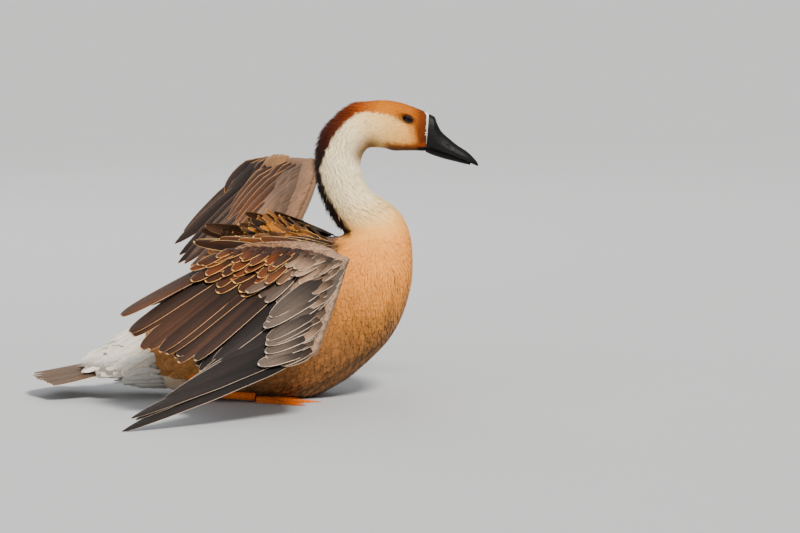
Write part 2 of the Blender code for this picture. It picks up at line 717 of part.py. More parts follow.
def make_tail(finish, rng):
    tail = body_piece("tail", "vent 2", "tail root 2", 5, finish)
    vanes = []
    for k in range(TAIL_PAIRS):
        for side in (1, -1):
            lie, up, left = pitched(TAIL_PITCH, side * (2 + TAIL_FAN * k))
            root = np.array([-207, side * (1.8 + 2.1 * k), 51 - 1.25 * k - (side < 0) * 1.25])
            long = (126 - 2.6 * k) * rng.uniform(0.98, 1.02)
            vanes.append(vane("rectrix", root, lie, up, left * side, long, 27, LONG_VANE, 0))
    for x, ys, pitch, yaw, long, below in TAIL_COVERTS:
        for y in ys:
            high = height_on(tail, x, y, below) + (3 if below else -3)
            lie, up, left = pitched(pitch, y * yaw)
            vanes.append(vane("covert", np.array([x, y, high]), lie, up, left, long, 19,
                              COVERT_VANE, 9))
    combine(tail, vanes, "UNION", WING_SOLVER)


def ruffle_mantle(torso, rng):
    """Shaken feathers that stand up between the shoulders."""
    vanes = []
    for x, ys, pitch, long in MANTLE:
        for y in ys:
            y = y + rng.uniform(-1.5, 1.5)
            lie, up, left = pitched(pitch + rng.uniform(-3, 3), y * 0.5, y * 1.2)
            root = np.array([x + rng.uniform(-2, 2), y, height_on(torso, x, y) - 5])
            vanes.append(vane("mantle", root, lie, up, left, long * rng.uniform(0.94, 1.06), 25,
                              COVERT_VANE, 9))
    combine(torso, vanes, "UNION", WING_SOLVER)


def main():
    for old in list(bpy.data.objects):
        bpy.data.objects.remove(old)
    plumage = material("buff plumage", (0.75, 0.45, 0.22), 0.8)
    pale = material("cream plumage", (0.85, 0.75, 0.6), 0.8)
    horn = material("black horn", (0.02, 0.02, 0.022), 0.35)
    iris = material("brown iris", (0.05, 0.02, 0.01), 0.1)
    brown = material("brown feathers", (0.3, 0.2, 0.13), 0.8)
    rng = np.random.default_rng(7)
    orange = material("orange skin", (0.8, 0.32, 0.05), 0.5)
    make_head(plumage, horn, iris)
    body_piece("neck_upper", "nape", "neck 6", 9, pale)
    body_piece("neck_lower", "neck 6", "neck root", 9, pale)
    torso = body_piece("torso", "neck root", "vent 2", 22, plumage)
    make_tail(brown, rng)
    for side in ("right", "left"):
        make_wing(side, brown, torso, rng)
        sign = WINGS[side]["side"]
        make_leg(f"leg_{side}", sign, orange, torso)
        make_foot(f"foot_{side}", sign, orange)
    ruffle_mantle(torso, rng)
    for node in bpy.data.objects:
        shade(node)


main()
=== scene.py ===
"""Looks of a life-size swan goose afloat: skin, plumage, bill, eyes, legs, floor, light, camera.

Sizes are millimetres until a mesh is made. +X is the way the bird faces, +Y its left, +Z up.
"""
import math

import bpy
import numpy as np
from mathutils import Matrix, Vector


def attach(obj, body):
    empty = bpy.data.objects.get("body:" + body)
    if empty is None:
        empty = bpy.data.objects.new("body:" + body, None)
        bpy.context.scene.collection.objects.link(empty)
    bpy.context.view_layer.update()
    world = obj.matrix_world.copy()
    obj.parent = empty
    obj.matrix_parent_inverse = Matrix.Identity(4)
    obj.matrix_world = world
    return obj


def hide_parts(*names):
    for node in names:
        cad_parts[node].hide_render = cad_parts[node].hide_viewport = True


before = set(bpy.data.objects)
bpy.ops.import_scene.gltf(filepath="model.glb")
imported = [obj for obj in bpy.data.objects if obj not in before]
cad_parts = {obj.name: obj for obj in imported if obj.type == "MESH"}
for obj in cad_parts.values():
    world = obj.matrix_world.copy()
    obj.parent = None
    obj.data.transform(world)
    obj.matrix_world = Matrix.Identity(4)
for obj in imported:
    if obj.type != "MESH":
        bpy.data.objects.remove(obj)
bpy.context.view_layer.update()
MM = 0.001
BODY = "root"

# Body rings from the bill's root to the tail's root: where the ring meets the back (x, z), where
# it meets the throat, breast or belly (x, z), and half its width. A place along the body counts
# these rings from 0.
BODY_RINGS = np.array([
    (187, 367.5, 183, 318.5, 13.5),
    (176, 372.5, 170, 319, 17.5),
    (162, 378, 156, 319, 20),
    (147, 382.5, 142, 319, 22.5),
    (129, 385, 129, 322, 24.5),
    (110, 384, 118, 323, 25.5),
    (93, 381, 110, 322, 26),
    (76.5, 372, 105, 318, 26.5),
    (62, 359, 102, 313, 27),
    (50, 344, 100, 307, 27.5),
    (43, 325, 99, 300, 28),
    (41, 306, 100, 293, 28.5),
    (42, 287, 102, 285, 28.5),
    (46, 269, 106, 276, 28.5),
    (52, 252, 113, 267, 29),
    (60, 237, 124, 259, 30),
    (68, 224, 138, 250, 33),
    (75, 213, 152, 235, 38),
    (70, 208, 162, 212, 50),
    (58, 206, 166, 183, 64),
    (43, 205, 165, 150, 76),
    (26, 204, 156, 113, 85),
    (6, 201, 139, 79, 91),
    (-17, 196, 112, 48, 94),
    (-43, 188, 78, 20, 95),
    (-70, 177, 34, -2, 92),
    (-99, 161, -20, -7, 86),
    (-130, 140, -74, -7, 77),
    (-160, 117, -119, -1, 65),
    (-186, 96, -158, 12, 51),
    (-207, 79, -189, 27, 37),
    (-223, 66, -214, 36, 24),
], float)
NECK_ROOT, LAST_RING = 17, len(BODY_RINGS) - 1
BODY_SQUARENESS = 2.15

# How deep the coat lies over the skin, and how long and wide its small feathers are, by place
# along the body.
COAT_DEEP = ([0, 2, 5, 9, 15, 18, 22, 31], [0.5, 0.8, 1.3, 1.7, 1.5, 1.6, 2.0, 2.6])
TUFT_PLACES = [0, 1.5, 4, 6, 9, 15, 17, 19, 22, 27, 31]
TUFT_LONG = (TUFT_PLACES, np.array([2.4, 3.2, 4.6, 6.5, 8, 9, 11, 15, 19, 26, 30]))
TUFT_WIDE = (TUFT_PLACES, np.array([1.0, 1.2, 1.4, 1.7, 2.0, 2.4, 3.4, 5.2, 7.5, 11, 12]))
FURROW_DEEP = 0.8

# The eyeball, and the almond of its lids: half its length, half its height, how much its front
# corner lies lower, and half the width and thickness of the lid's roll.
EYE_RADIUS, EYE_PLACE = 7.5, (160, 12.9, 361)
LID_LONG, LID_HIGH, LID_SLOPE, LID_WIDE, LID_THICK = 6.6, 3.3, 1.9, 0.8, 0.6
# Half the length and height of the opening that skin and coat leave, and how clear of it feathers stay.
EYE_OPENING, EYE_CLEAR = (LID_LONG + 0.9, LID_HIGH + 1.1), 1.04

# How much stronger colours are made, because the view transform dulls them.
VIVID = 1.14

# Each wing's bones with their ways, the middle of the fold of skin ahead of the elbow (notch),
# which way that skin faces (web), and tables by place t along the wing of the feathers' lie and of
# the upper side's way up to the wrist (back) and beyond it (hand_back). t is -1 at the shoulder,
# 0 at the elbow, 1 at the wrist and 2 at the tip.
HUMERUS, FOREARM, HAND = 164, 147, 143
INNERMOST = -0.85
WINGS = {
    "right": dict(
        side=-1,
        shoulder=(75, -50, 178),
        humerus=(-0.875, -0.474, 0.091),
        forearm=(0.99, -0.13, -0.055),
        hand=(-0.24, -0.66, -0.71),
        notch=(56, -104, 188),
        web=(0.06, 0.07, 0.995),
        hand_back=[(1.0, (0.05, -0.74, 0.67)), (2.0, (0.10, -0.75, 0.66))],
        lie=[
            (-0.85, (-0.98, -0.06, -0.14)),
            (-0.4, (-0.93, -0.24, -0.28)),
            (0.0, (-0.80, -0.40, -0.45)),
            (0.5, (-0.68, -0.52, -0.51)),
            (1.0, (-0.70, -0.505, -0.505)),
            (1.5, (-0.80, -0.475, -0.39)),
            (2.0, (-0.875, -0.42, -0.28)),
        ],
        back=[
            (-0.85, (-0.14, 0.0, 0.99)),
            (-0.4, (-0.26, 0.04, 0.96)),
            (0.0, (-0.04, -0.62, 0.78)),
            (0.6, (-0.02, -0.67, 0.74)),
            (1.0, (0.02, -0.70, 0.71)),
        ],
    ),
    "left": dict(
        side=1,
        shoulder=(72, 50, 180),
        humerus=(-0.56, 0.825, -0.05),
        forearm=(0.31, 0.628, 0.714),
        hand=(-0.43, 0.895, 0.0),
        notch=(4, 160, 200),
        web=(-0.69, -0.40, 0.60),
        hand_back=[(1.0, (-0.73, -0.30, 0.61)), (2.0, (-0.89, -0.41, 0.17))],
        lie=[
            (-0.85, (-0.93, 0.06, -0.36)),
            (-0.4, (-0.84, -0.03, -0.54)),
            (0.0, (-0.77, -0.02, -0.64)),
            (0.5, (-0.74, 0.08, -0.67)),
            (1.0, (-0.73, 0.25, -0.63)),
            (1.5, (-0.62, 0.54, -0.565)),
            (2.0, (-0.50, 0.74, -0.44)),
        ],
        back=[
            (-0.85, (-0.36, 0.10, 0.93)),
            (-0.4, (-0.54, -0.20, 0.82)),
            (0.0, (-0.645, -0.444, 0.621)),
            (0.6, (-0.67, -0.40, 0.62)),
            (1.0, (-0.72, -0.32, 0.61)),
        ],
    ),
}
# How much the rear of an arm's slice is flattened, how far the arm lies inside the solids, and the
# flesh ahead of the bone, behind it and through it by t.
EGG, ARM_INSIDE = 0.45, 1.2
FOREARM_FLESH = ([-0.1, 0.3, 0.7, 1, 1.3, 2.05],
                 [(26, 18, 22), (40, 17, 25), (34, 16, 23), (13, 15, 20), (11, 13, 16), (5, 9, 9)])
# How long a flight feather is along the wing.
FLIGHT_LONG = ([-0.85, -0.4, 0, 0.2, 0.6, 1, 1.3, 1.7, 2],
               [112, 135, 158, 188, 206, 222, 244, 264, 268])


def unit(v):
    """Vectors along the last axis at length one."""
    v = np.asarray(v, float)
    return v / np.linalg.norm(v, axis=-1, keepdims=True)


def square_to(up, lie):
    """The part of up that stands square to lie, at length one."""
    return unit(up - lie * (up * lie).sum(-1, keepdims=True))


def ease(x, low=0.0, high=1.0):
    """0 below low, 1 above high, and the smooth cubic 3x² − 2x³ between."""
    x = np.clip((np.asarray(x, float) - low) / (high - low), 0, 1)
    return x * x * (3 - 2 * x)


def smooth_table(knots, values, at):
    """Catmull-Rom through values given at knots, read at the places in at."""
    knots, values, at = (np.asarray(a, float) for a in (knots, values, at))
    values = values.reshape(len(knots), -1)
    slopes = np.gradient(values, knots, axis=0)
    i = np.clip(np.searchsorted(knots, at, side="right") - 1, 0, len(knots) - 2)
    step = (knots[i + 1] - knots[i])[:, None]
    u = ((at - knots[i]) / step[:, 0])[:, None]
    return (
        (2 * u**3 - 3 * u**2 + 1) * values[i]
        + (u**3 - 2 * u**2 + u) * step * slopes[i]
        + (3 * u**2 - 2 * u**3) * values[i + 1]
        + (u**3 - u**2) * step * slopes[i + 1]
    )


def read(table, at):
    """A straight-line reading of a table of knots and values, or of knots and rows of values."""
    knots, values = np.asarray(table[0], float), np.asarray(table[1], float)
    if values.ndim == 1:
        return np.interp(at, knots, values)
    return np.stack([np.interp(at, knots, column) for column in values.T], -1)


def colour(r, g, b):
    """A colour as seen on a screen, 0 to 255, made linear by the power 2.2 and a little more vivid."""
    linear = (np.array([r, g, b], float) / 255) ** 2.2
    return np.clip(linear.mean() + (linear - linear.mean()) * VIVID, 0.002, 1)


def colour_rows(*rows):
    """Colours as rows of a table."""
    return np.array([colour(*row) for row in rows])


def rims(tone, power):
    """Colour and strength of the feathers' pale edges, (N, 4), from a colour or rows of them."""
    return np.concatenate([np.broadcast_to(tone, (len(power), 3)), power[:, None]], 1)


def hump(*parts):
    """1 where every part is 0, falling off as exp(−(the sum of their squares))."""
    return np.exp(-sum(part**2 for part in parts))


def mix(a, b, share):
    """Rows of a where share is 0 and rows of b where it is 1."""
    return a + (b - a) * np.asarray(share, float)[..., None]


def waves(spot, scale, seed):
    """Smooth noise, mostly within -1 to 1: five sine waves of random direction and phase, about a
    scale long, averaged and raised."""
    rng = np.random.default_rng(seed)
    ways = unit(rng.normal(size=(5, 3))) * rng.uniform(0.7, 1.6, (5, 1)) / scale
    return np.sin(np.asarray(spot) @ ways.T * 2 * np.pi + rng.uniform(0, 6.3, 5)).mean(-1) * 1.6


# The body's skin

def body_spot(place, turn):
    """Point of the coat's outside at a place counted in BODY_RINGS and a turn from the back round.

    With c = |cos|^(2/n) and s = |sin|^(2/n), signed, a ring is its middle plus half of the line
    from front to back times c, and half its width times s. The belly is pressed flat at Z = 0.
    """
    place, turn = np.broadcast_arrays(np.asarray(place, float), np.asarray(turn, float))
    rows = smooth_table(range(len(BODY_RINGS)), BODY_RINGS, place.ravel())
    back_x, back_z, front_x, front_z, half = rows.T
    rise, out = np.cos(turn.ravel()), np.sin(turn.ravel())
    power = 2 / BODY_SQUARENESS
    rise = np.sign(rise) * np.abs(rise) ** power
    out = np.sign(out) * np.abs(out) ** power
    x = (back_x + front_x) / 2 + (back_x - front_x) / 2 * rise
    z = (back_z + front_z) / 2 + (back_z - front_z) / 2 * rise
    return np.stack([x, half * out, np.maximum(z, 0)], -1).reshape(*place.shape, 3)


def body_frame(place, turn):
    """Point, way towards the tail and outward normal on the body, by differences of body_spot."""
    small = 0.03
    along = body_spot(place + small, turn) - body_spot(place - small, turn)
    around = body_spot(place, turn + small) - body_spot(place, turn - small)
    normal = unit(np.cross(around, along))
    return body_spot(place, turn), square_to(along, normal), normal


def neck_furrows(place, turn):
    """Depth of the neck's fine slanting furrows, 0 to 1: the valleys of a wavy sine round and along."""
    slant = 31 * turn + 8.3 * place + 1.6 * np.sin(1.9 * place + 4 * turn)
    slant = slant + np.sin(5.1 * place - 7 * turn)
    valley = (0.5 - 0.5 * np.sin(slant)) ** 2
    return valley * ease(place, 6, 8.5) * (1 - ease(place, 15, 17.5)) * ease(np.abs(turn), 0.5, 1.0)


def body_rows(first, last, row_step, gap, rng, jitter=0.3):
    """Roots in staggered rows round the body, as arrays of place and turn.

    Rows stand where the running sum of skin length over row_step reaches whole numbers, and the
    roots of a row stand a gap apart along its ring, each row moved on by half a gap.
    """
    places = np.linspace(first, last, 1500)
    lines = body_spot(places[:, None], np.array([[0.0, np.pi / 2, np.pi]]))
    steps = np.linalg.norm(np.diff(lines, axis=0), axis=-1).max(1)
    count = np.concatenate([[0], np.cumsum(steps / read(row_step, places[1:]))])
    rows = np.interp(np.arange(0.5, count[-1]), count, places)
    ring_turn = np.linspace(-np.pi, np.pi, 721)
    found = []
    for k, place in enumerate(rows):
        ring = body_spot(place, ring_turn)
        arc = np.concatenate([[0], np.cumsum(np.linalg.norm(np.diff(ring, axis=0), axis=-1))])
        n = max(int(round(arc[-1] / read(gap, place))), 6)
        at = (np.arange(n) + 0.5 * (k % 2) + rng.uniform(-jitter, jitter, n)) / n
        turn = np.interp((at % 1) * arc[-1], arc, ring_turn)
        spread = (rows[1] - rows[0]) * jitter
        found.append(np.stack([place + rng.uniform(-spread, spread, n), turn]))
    place, turn = np.concatenate(found, 1)
    return np.clip(place, first, last), turn


# Markings

# By place: the colours of the crown and hindneck, how far down they reach, how softly they end, the
# colours of the side, and how low the chin's band begins. By a: how far back the white rim reaches.
FACE = dict(
    crown=([0, 0.8, 1.7, 4, 5.4, 6.4, 7.8, 8.8, 10, 13, 17, 18], colour_rows(
        (92, 48, 30), (118, 62, 34), (176, 102, 44), (200, 120, 48), (152, 78, 38), (110, 52, 30),
        (80, 40, 28), (66, 32, 24), (44, 28, 24), (38, 26, 22), (56, 34, 22), (150, 90, 44))),
    line=([0, 0.3, 0.6, 0.9, 1.3, 2, 2.7, 3.6, 4.4, 5.2,
           5.9, 7.2, 8.4, 9.2, 9.9, 10.7, 11.3, 12.6, 13.8, 17],
          [1, 0.92, 0.79, 0.65, 0.51, 0.43, 0.385, 0.365, 0.335, 0.3,
           0.31, 0.32, 0.33, 0.325, 0.29, 0.24, 0.222, 0.232, 0.25, 0.24]),
    soft=([0, 1.2, 2.2, 4, 6, 9, 17], [0.22, 0.17, 0.05, 0.022, 0.03, 0.022, 0.04]),
    side=([0, 1.2, 3, 5, 7, 10, 14, 16, 17, 18, 20, 22, 24, 26, 28, 31], colour_rows(
        (214, 134, 68), (242, 166, 94), (255, 198, 126), (255, 214, 154), (255, 230, 188),
        (255, 237, 200), (255, 231, 186), (253, 210, 146), (246, 180, 106), (234, 158, 88),
        (218, 144, 80), (198, 130, 74), (188, 126, 80), (200, 150, 106), (230, 208, 182),
        (246, 240, 228))),
    chin=([0, 0.65, 1.1, 1.85, 2.8, 3.5, 4.2], [0.68, 0.69, 0.705, 0.73, 0.72, 0.72, 0.78]),
    rim=([0, 0.12, 0.22, 0.45, 0.6, 0.66], [0.3, 0.26, 0.08, 0.06, 0.05, 0]),
)
WHITE = colour(250, 244, 234)
CHIN_TOP, CHIN_LOW = colour(146, 72, 36), colour(62, 28, 20)
# The third colour is painted shade in the creases of the neck's furrows.
GAPE, EYE_SHADE, FURROW_SHADE = colour(24, 22, 22), colour(58, 30, 18), colour(128, 92, 58)
# The first colour is the low breast's dull brown: partly wet feathers, partly painted shade.
WET_AND_SHADE, BROWN_BACK, FLANK = colour(84, 66, 48), colour(104, 70, 44), colour(164, 116, 74)
# A factor for the painted shade on the throat under the jaw.
THROAT_PAINTED_SHADE = np.array([0.16, 0.1, 0.05])
# The skin is a darker copy of the markings: painted shade in the gaps between the feathers.
SKIN_PAINTED_SHADE = 0.8


def body_colour(place, turn, spot):
    """The markings of the body as colours.

    a = |turn| / pi runs from 0 on the back to 1 on the throat and belly. The crown and the
    hindneck stripe fill a below FACE's line; the rest has the side's colour, with painted shade on
    the throat under the jaw, mottled lores, a brown band above the chin's edge, a black gape, a
    white rim round the bill, dark round the eye, painted shade in the furrows of the neck, brown on
    the back and flanks, and dull streaks low on the breast, darker towards the water and the front,
    partly wet feathers and partly painted shade. Each marking is a product of eases in place and
    a, laid on by mix.
    """
    a = np.abs(turn) / np.pi
    ragged = waves(spot, 9, 3) * 0.014 + waves(spot, 3.5, 4) * 0.012
    result = read(FACE["side"], place)
    # Painted shade on the throat, where the head shades it below the jaw.
    throat = ease(a, 0.5, 0.85) * ease(place, 3.6, 5) * (1 - ease(place, 7.6, 10))
    result = mix(result, result * THROAT_PAINTED_SHADE, throat * 0.9)
    # Painted shade in the creases of the neck's furrows.
    result = mix(result, FURROW_SHADE, neck_furrows(place, turn) * 0.55)
    back = (1 - ease(a, 0.24, 0.34)) * ease(place, 17.6, 19.4)
    result = mix(result, BROWN_BACK, back)
    flank = (1 - ease(a, 0.5, 0.75)) * ease(place, 22.5, 25) * (1 - ease(place, 28, 30))
    result = mix(result, FLANK, flank * 0.8)
    # Low on the breast, and more at the front, the colour dulls towards the water: partly wet feathers,
    # partly painted shade where the breast turns away from the light.
    wet_and_shade = (1 - ease(spot[..., 2] + 20 * waves(spot, 34, 8), 70, 185)) * ease(place, 18, 20)
    streak = 0.83 + 0.17 * np.sin(a * 150 + 3 * waves(spot, 20, 9))
    wet_and_shade = wet_and_shade * (1 - ease(place, 26, 29)) * (0.6 + 0.4 * ease(a, 0.6, 0.9))
    result = mix(result, WET_AND_SHADE, wet_and_shade * streak)
    edge, soft = read(FACE["line"], place), read(FACE["soft"], place)
    crown = (1 - ease(a + ragged, edge - soft, edge + soft)) * (1 - ease(place, 16.8, 18.2))
    result = mix(result, read(FACE["crown"], place), crown)
    lores = ease(a, 0.2, 0.4) * (1 - ease(place, 0.7, 1.7))
    result = mix(result, EYE_SHADE, lores * ease(waves(spot, 2.2, 12), -0.2, 0.4) * 0.35)
    top = read(FACE["chin"], place)
    chin = ease(a + ragged, top - 0.05, top + 0.06) * (1 - ease(place, 3.0, 4.8))
    result = mix(result, mix(CHIN_TOP, CHIN_LOW, ease(a, 0.74, 0.84)), chin * 0.9)
    rim = read(FACE["rim"], a) * (1 + 18 * ragged)
    result = mix(result, WHITE, (1 - ease(place, rim * 0.85, rim * 1.15 + 0.02)) * (a < 0.7))
    result = mix(result, EYE_SHADE, (1 - ease(eye_distance(spot), 1.05, 1.75)) * 0.8)
    result = mix(result, GAPE, ease(a, 0.76, 0.8) * (1 - ease(place + ragged * 4, 0.5, 0.85)))
    return np.clip(result * (1 + 0.05 * waves(spot, 14, 5))[..., None], 0, 1)


# Materials

def new_material(name, roughness, sheen=0.0, specular=0.35, coat=0.0):
    """A new material with its node tree and its shader, with the shader's plain numbers set."""
    made = bpy.data.materials.new(name)
    made.use_nodes = True
    tree = made.node_tree
    shader = tree.nodes["Principled BSDF"]
    shader.inputs["Roughness"].default_value = roughness
    shader.inputs["Sheen Weight"].default_value = sheen
    shader.inputs["Sheen Roughness"].default_value = 0.4
    shader.inputs["Specular IOR Level"].default_value = specular
    shader.inputs["Coat Weight"].default_value = coat
    return made, tree, shader


def node(tree, kind, inputs=None, **settings):
    """A node of a kind, with its settings and with values or links put on its inputs."""
    made = tree.nodes.new(kind)
    for key, value in settings.items():
        setattr(made, key, value)
    for key, value in (inputs or {}).items():
        if isinstance(value, bpy.types.NodeSocket):
            tree.links.new(value, made.inputs[key])
        else:
            made.inputs[key].default_value = value
    return made


def maths(tree, operation, a, b=0.0, c=0.0):
    """The result of a maths node."""
    return node(tree, "ShaderNodeMath", {0: a, 1: b, 2: c}, operation=operation).outputs[0]


def ramp(tree, value, low, high, start, end):
    """A value carried in a straight line from low to high over to start to end, and held beyond."""
    return node(tree, "ShaderNodeMapRange", {0: value, 1: low, 2: high, 3: start, 4: end}).outputs[0]


def blend_colour(tree, share, a, b, kind="MIX"):
    """Colour a with a share of colour b laid on it."""
    made = node(tree, "ShaderNodeMix", {0: share, 6: a, 7: b}, data_type="RGBA", blend_type=kind)
    return made.outputs[2]


def shaded(tree, tint, share):
    """A colour multiplied by a grey."""
    grey = node(tree, "ShaderNodeCombineColor", {0: share, 1: share, 2: share}).outputs[0]
    return blend_colour(tree, 1.0, tint, grey, "MULTIPLY")


def attribute(tree, name):
    """The outputs of a node that reads a piece's own attribute."""
    return node(tree, "ShaderNodeAttribute", attribute_name=name).outputs


def set_relief(tree, shader, height, distance, strength):
    """Puts a bump of a height in metres on the shader."""
    made = node(tree, "ShaderNodeBump", {"Height": height, "Distance": distance, "Strength": strength})
    tree.links.new(made.outputs[0], shader.inputs["Normal"])


def object_place(tree):
    """The point in the object's own space."""
    return node(tree, "ShaderNodeTexCoord").outputs["Object"]


def object_noise(tree, scale, detail=3.0):
    """Noise in the object's own space, 0 to 1."""
    return node(tree, "ShaderNodeTexNoise", {"Vector": object_place(tree), "Scale": scale,
                                             "Detail": detail, "Roughness": 0.6}).outputs[0]


def down_material():
    """Small feathers and skin: the piece's own tint, mottled finely, with a soft sheen."""
    made, tree, shader = new_material("small feathers", 0.8, sheen=0.06, specular=0.15)
    grain = object_noise(tree, 900)
    dark = maths(tree, "MULTIPLY_ADD", grain, 0.5, 0.76)
    tint = attribute(tree, "tint")["Color"]
    tree.links.new(shaded(tree, tint, dark), shader.inputs["Base Color"])
    set_relief(tree, shader, grain, 0.0003, 0.4)
    return made


def vane_material():
    """Large feathers: tint, an edge band in the edging's colour, barbs and a quill.

    The UV map Vane holds x, from inner to outer edge, and y, from root to tip, and the attribute
    size holds half the width, the length and the band. With v = |2x − 1|, the band is where the
    lesser of 2 · half · (1 − v) and length · (1 − y), made uneven by noise, is under the band.
    Barbs are a sine of y − 0.35 v, and the quill is a dark line where v is under about 0.04.
    """
    made, tree, shader = new_material("large feathers", 0.62, sheen=0.04, specular=0.2)
    tint, edging = attribute(tree, "tint")["Color"], attribute(tree, "edging")
    sizes = node(tree, "ShaderNodeSeparateColor", {0: attribute(tree, "size")["Color"]}).outputs
    uv = node(tree, "ShaderNodeUVMap", uv_map="Vane").outputs[0]
    x, y, _ = node(tree, "ShaderNodeSeparateXYZ", {0: uv}).outputs
    grain = object_noise(tree, 260)
    v = maths(tree, "ABSOLUTE", maths(tree, "MULTIPLY_ADD", x, 2.0, -1.0))
    side = maths(tree, "MULTIPLY", maths(tree, "SUBTRACT", 1.0, v), sizes[0])
    side = maths(tree, "MULTIPLY", side, 2.0)
    tip = maths(tree, "MULTIPLY", maths(tree, "SUBTRACT", 1.0, y), sizes[1])
    near = maths(tree, "MINIMUM", side, tip)
    near = maths(tree, "ADD", near, maths(tree, "MULTIPLY_ADD", grain, 0.02, -0.01))
    band = ramp(tree, maths(tree, "DIVIDE", near, sizes[2]), 0.75, 1.25, 1.0, 0.0)
    band = maths(tree, "MULTIPLY", band, edging["Alpha"])
    slanting = maths(tree, "MULTIPLY_ADD", v, -0.35, y)
    barbs = maths(tree, "SINE", maths(tree, "MULTIPLY", slanting, 420.0))
    dark = maths(tree, "MULTIPLY_ADD", grain, 0.55, 0.72)
    dark = maths(tree, "ADD", dark, maths(tree, "MULTIPLY", barbs, 0.05))
    dark = maths(tree, "MULTIPLY", dark, ramp(tree, v, 0.02, 0.06, 0.55, 1.0))
    shown = blend_colour(tree, band, shaded(tree, tint, dark), edging["Color"])
    tree.links.new(shown, shader.inputs["Base Color"])
    set_relief(tree, shader, maths(tree, "ADD", grain, maths(tree, "MULTIPLY", barbs, 0.3)), 0.0006, 0.5)
    return made


def plain_material(name, base, roughness, noise, spread=0.3, relief=0.0004, specular=0.5):
    """One colour, made lighter and darker by noise, with a fine relief."""
    made, tree, shader = new_material(name, roughness, specular=specular)
    grain = object_noise(tree, noise, 5.0)
    dark, light = base * (1 - spread), np.minimum(base * (1 + spread), 1)
    tree.links.new(blend_colour(tree, grain, (*dark, 1), (*light, 1)), shader.inputs["Base Color"])
    set_relief(tree, shader, grain, relief, 0.6)
    return made


# Meshes

def build_mesh(name, points, faces, material, colours=None, layers=None, smooth=True):
    """A mesh object from point and face arrays, with colour attributes and UV maps by point."""
    points, faces = np.asarray(points, float), np.asarray(faces, np.int64)
    mesh = bpy.data.meshes.new(name)
    count, corners = faces.shape
    mesh.vertices.add(len(points))
    mesh.vertices.foreach_set("co", (points * MM).astype(np.float32).ravel())
    mesh.loops.add(count * corners)
    mesh.loops.foreach_set("vertex_index", faces.ravel().astype(np.int32))
    mesh.polygons.add(count)
    mesh.polygons.foreach_set("loop_start", np.arange(0, count * corners, corners, dtype=np.int32))
    mesh.update(calc_edges=True)
    mesh.polygons.foreach_set("use_smooth", np.full(count, smooth))
    for key, values in (layers or {}).items():
        layer = mesh.uv_layers.new(name=key)
        layer.data.foreach_set("uv", np.asarray(values, np.float32)[faces.ravel()].ravel())
    for key, values in (colours or {}).items():
        values = np.asarray(values, np.float32)
        if values.shape[1] == 3:
            values = np.concatenate([values, np.ones((len(values), 1), np.float32)], 1)
        kept = mesh.color_attributes.new(name=key, type="FLOAT_COLOR", domain="POINT")
        kept.data.foreach_set("color", values.ravel())
    mesh.materials.append(material)
    mesh.update()
    made = bpy.data.objects.new(name, mesh)
    bpy.context.scene.collection.objects.link(made)
    return made


def add_piece(made, slot, *replaced):
    """The piece moves with the body and stands for CAD nodes, whose solids it hides; slot is not used.
    """
    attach(made, BODY)
    if replaced:
        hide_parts(*replaced)


def ring_quads(rows, cols, closed=False):
    """Four-cornered faces from ring to ring, and from the last ring to the first if closed."""
    i, j = np.meshgrid(np.arange(rows if closed else rows - 1), np.arange(cols), indexing="ij")
    after, beside = (i + 1) % rows * cols, (j + 1) % cols
    return np.stack([i * cols + j, i * cols + beside, after + beside, after + j], -1).reshape(-1, 4)


def halved(quads):
    """The triangles of four-cornered faces."""
    return np.concatenate([quads[:, [0, 1, 2]], quads[:, [0, 2, 3]]])


def closed_grid(rings):
    """Points and triangles of a closed skin over rings (R, C, 3), with a pole in each end."""
    rows, cols = rings.shape[:2]
    faces = halved(ring_quads(rows, cols))
    first, last = rows * cols, rows * cols + 1
    ring = np.arange(cols)
    after = (ring + 1) % cols
    start = np.stack([after, ring, np.full(cols, first)], -1)
    base = (rows - 1) * cols
    end = np.stack([base + ring, base + after, np.full(cols, last)], -1)
    points = np.concatenate([rings.reshape(-1, 3), rings[:1].mean(1), rings[-1:].mean(1)])
    return points, np.concatenate([faces, start, end])


def vane_form(stations, lanes, outline):
    """A feather's plate as a grid of stations by lanes, its top and bottom sharing the rim.

    Each point has u along the feather, v across it, a share of its width v · outline(u) and a
    height 1 − v² on top, or minus half of that below. Both ends are flat.
    """
    stations, lanes = np.asarray(stations, float), np.asarray(lanes, float)
    rows, cols = len(stations), len(lanes)
    u, v = (a.ravel() for a in np.meshgrid(stations, lanes, indexing="ij"))
    high = 1 - v**2
    high[(u == stations[0]) | (u == stations[-1])] = 0
    top = np.arange(rows * cols).reshape(rows, cols)
    inner = top[1:-1, 1:-1]
    bottom = top.copy()
    bottom[1:-1, 1:-1] = rows * cols + np.arange(inner.size).reshape(inner.shape)
    u, v = np.concatenate([u, u[inner.ravel()]]), np.concatenate([v, v[inner.ravel()]])
    high = np.concatenate([high, -0.5 * high[inner.ravel()]])

    def triangles(grid, order):
        corners = [grid[:-1, :-1], grid[1:, :-1], grid[1:, 1:], grid[:-1, 1:]]
        return halved(np.stack([corners[k] for k in order], -1).reshape(-1, 4))

    faces = np.concatenate([triangles(top, (0, 1, 2, 3)), triangles(bottom, (2, 1, 0, 3))])
    return dict(u=u, v=v, side=v * outline(u), high=high, faces=faces)


def round_outline(quill, full, square):
    """Half width along a feather: from quill it grows to 1 at full, then rounds off to the tip
    as the root of 1 − 0.985 x^square, with x the share of the way from full to the tip."""
    def outline(u):
        grown = quill + (1 - quill) * ease(u, 0, full)
        return grown * np.sqrt(1 - np.clip((u - full) / (1 - full), 0, 1) ** square * 0.985)
    return outline


def drawn_outline(places, widths):
    """Half width along a feather, read straight from a table."""
    return lambda u: np.interp(u, places, widths)


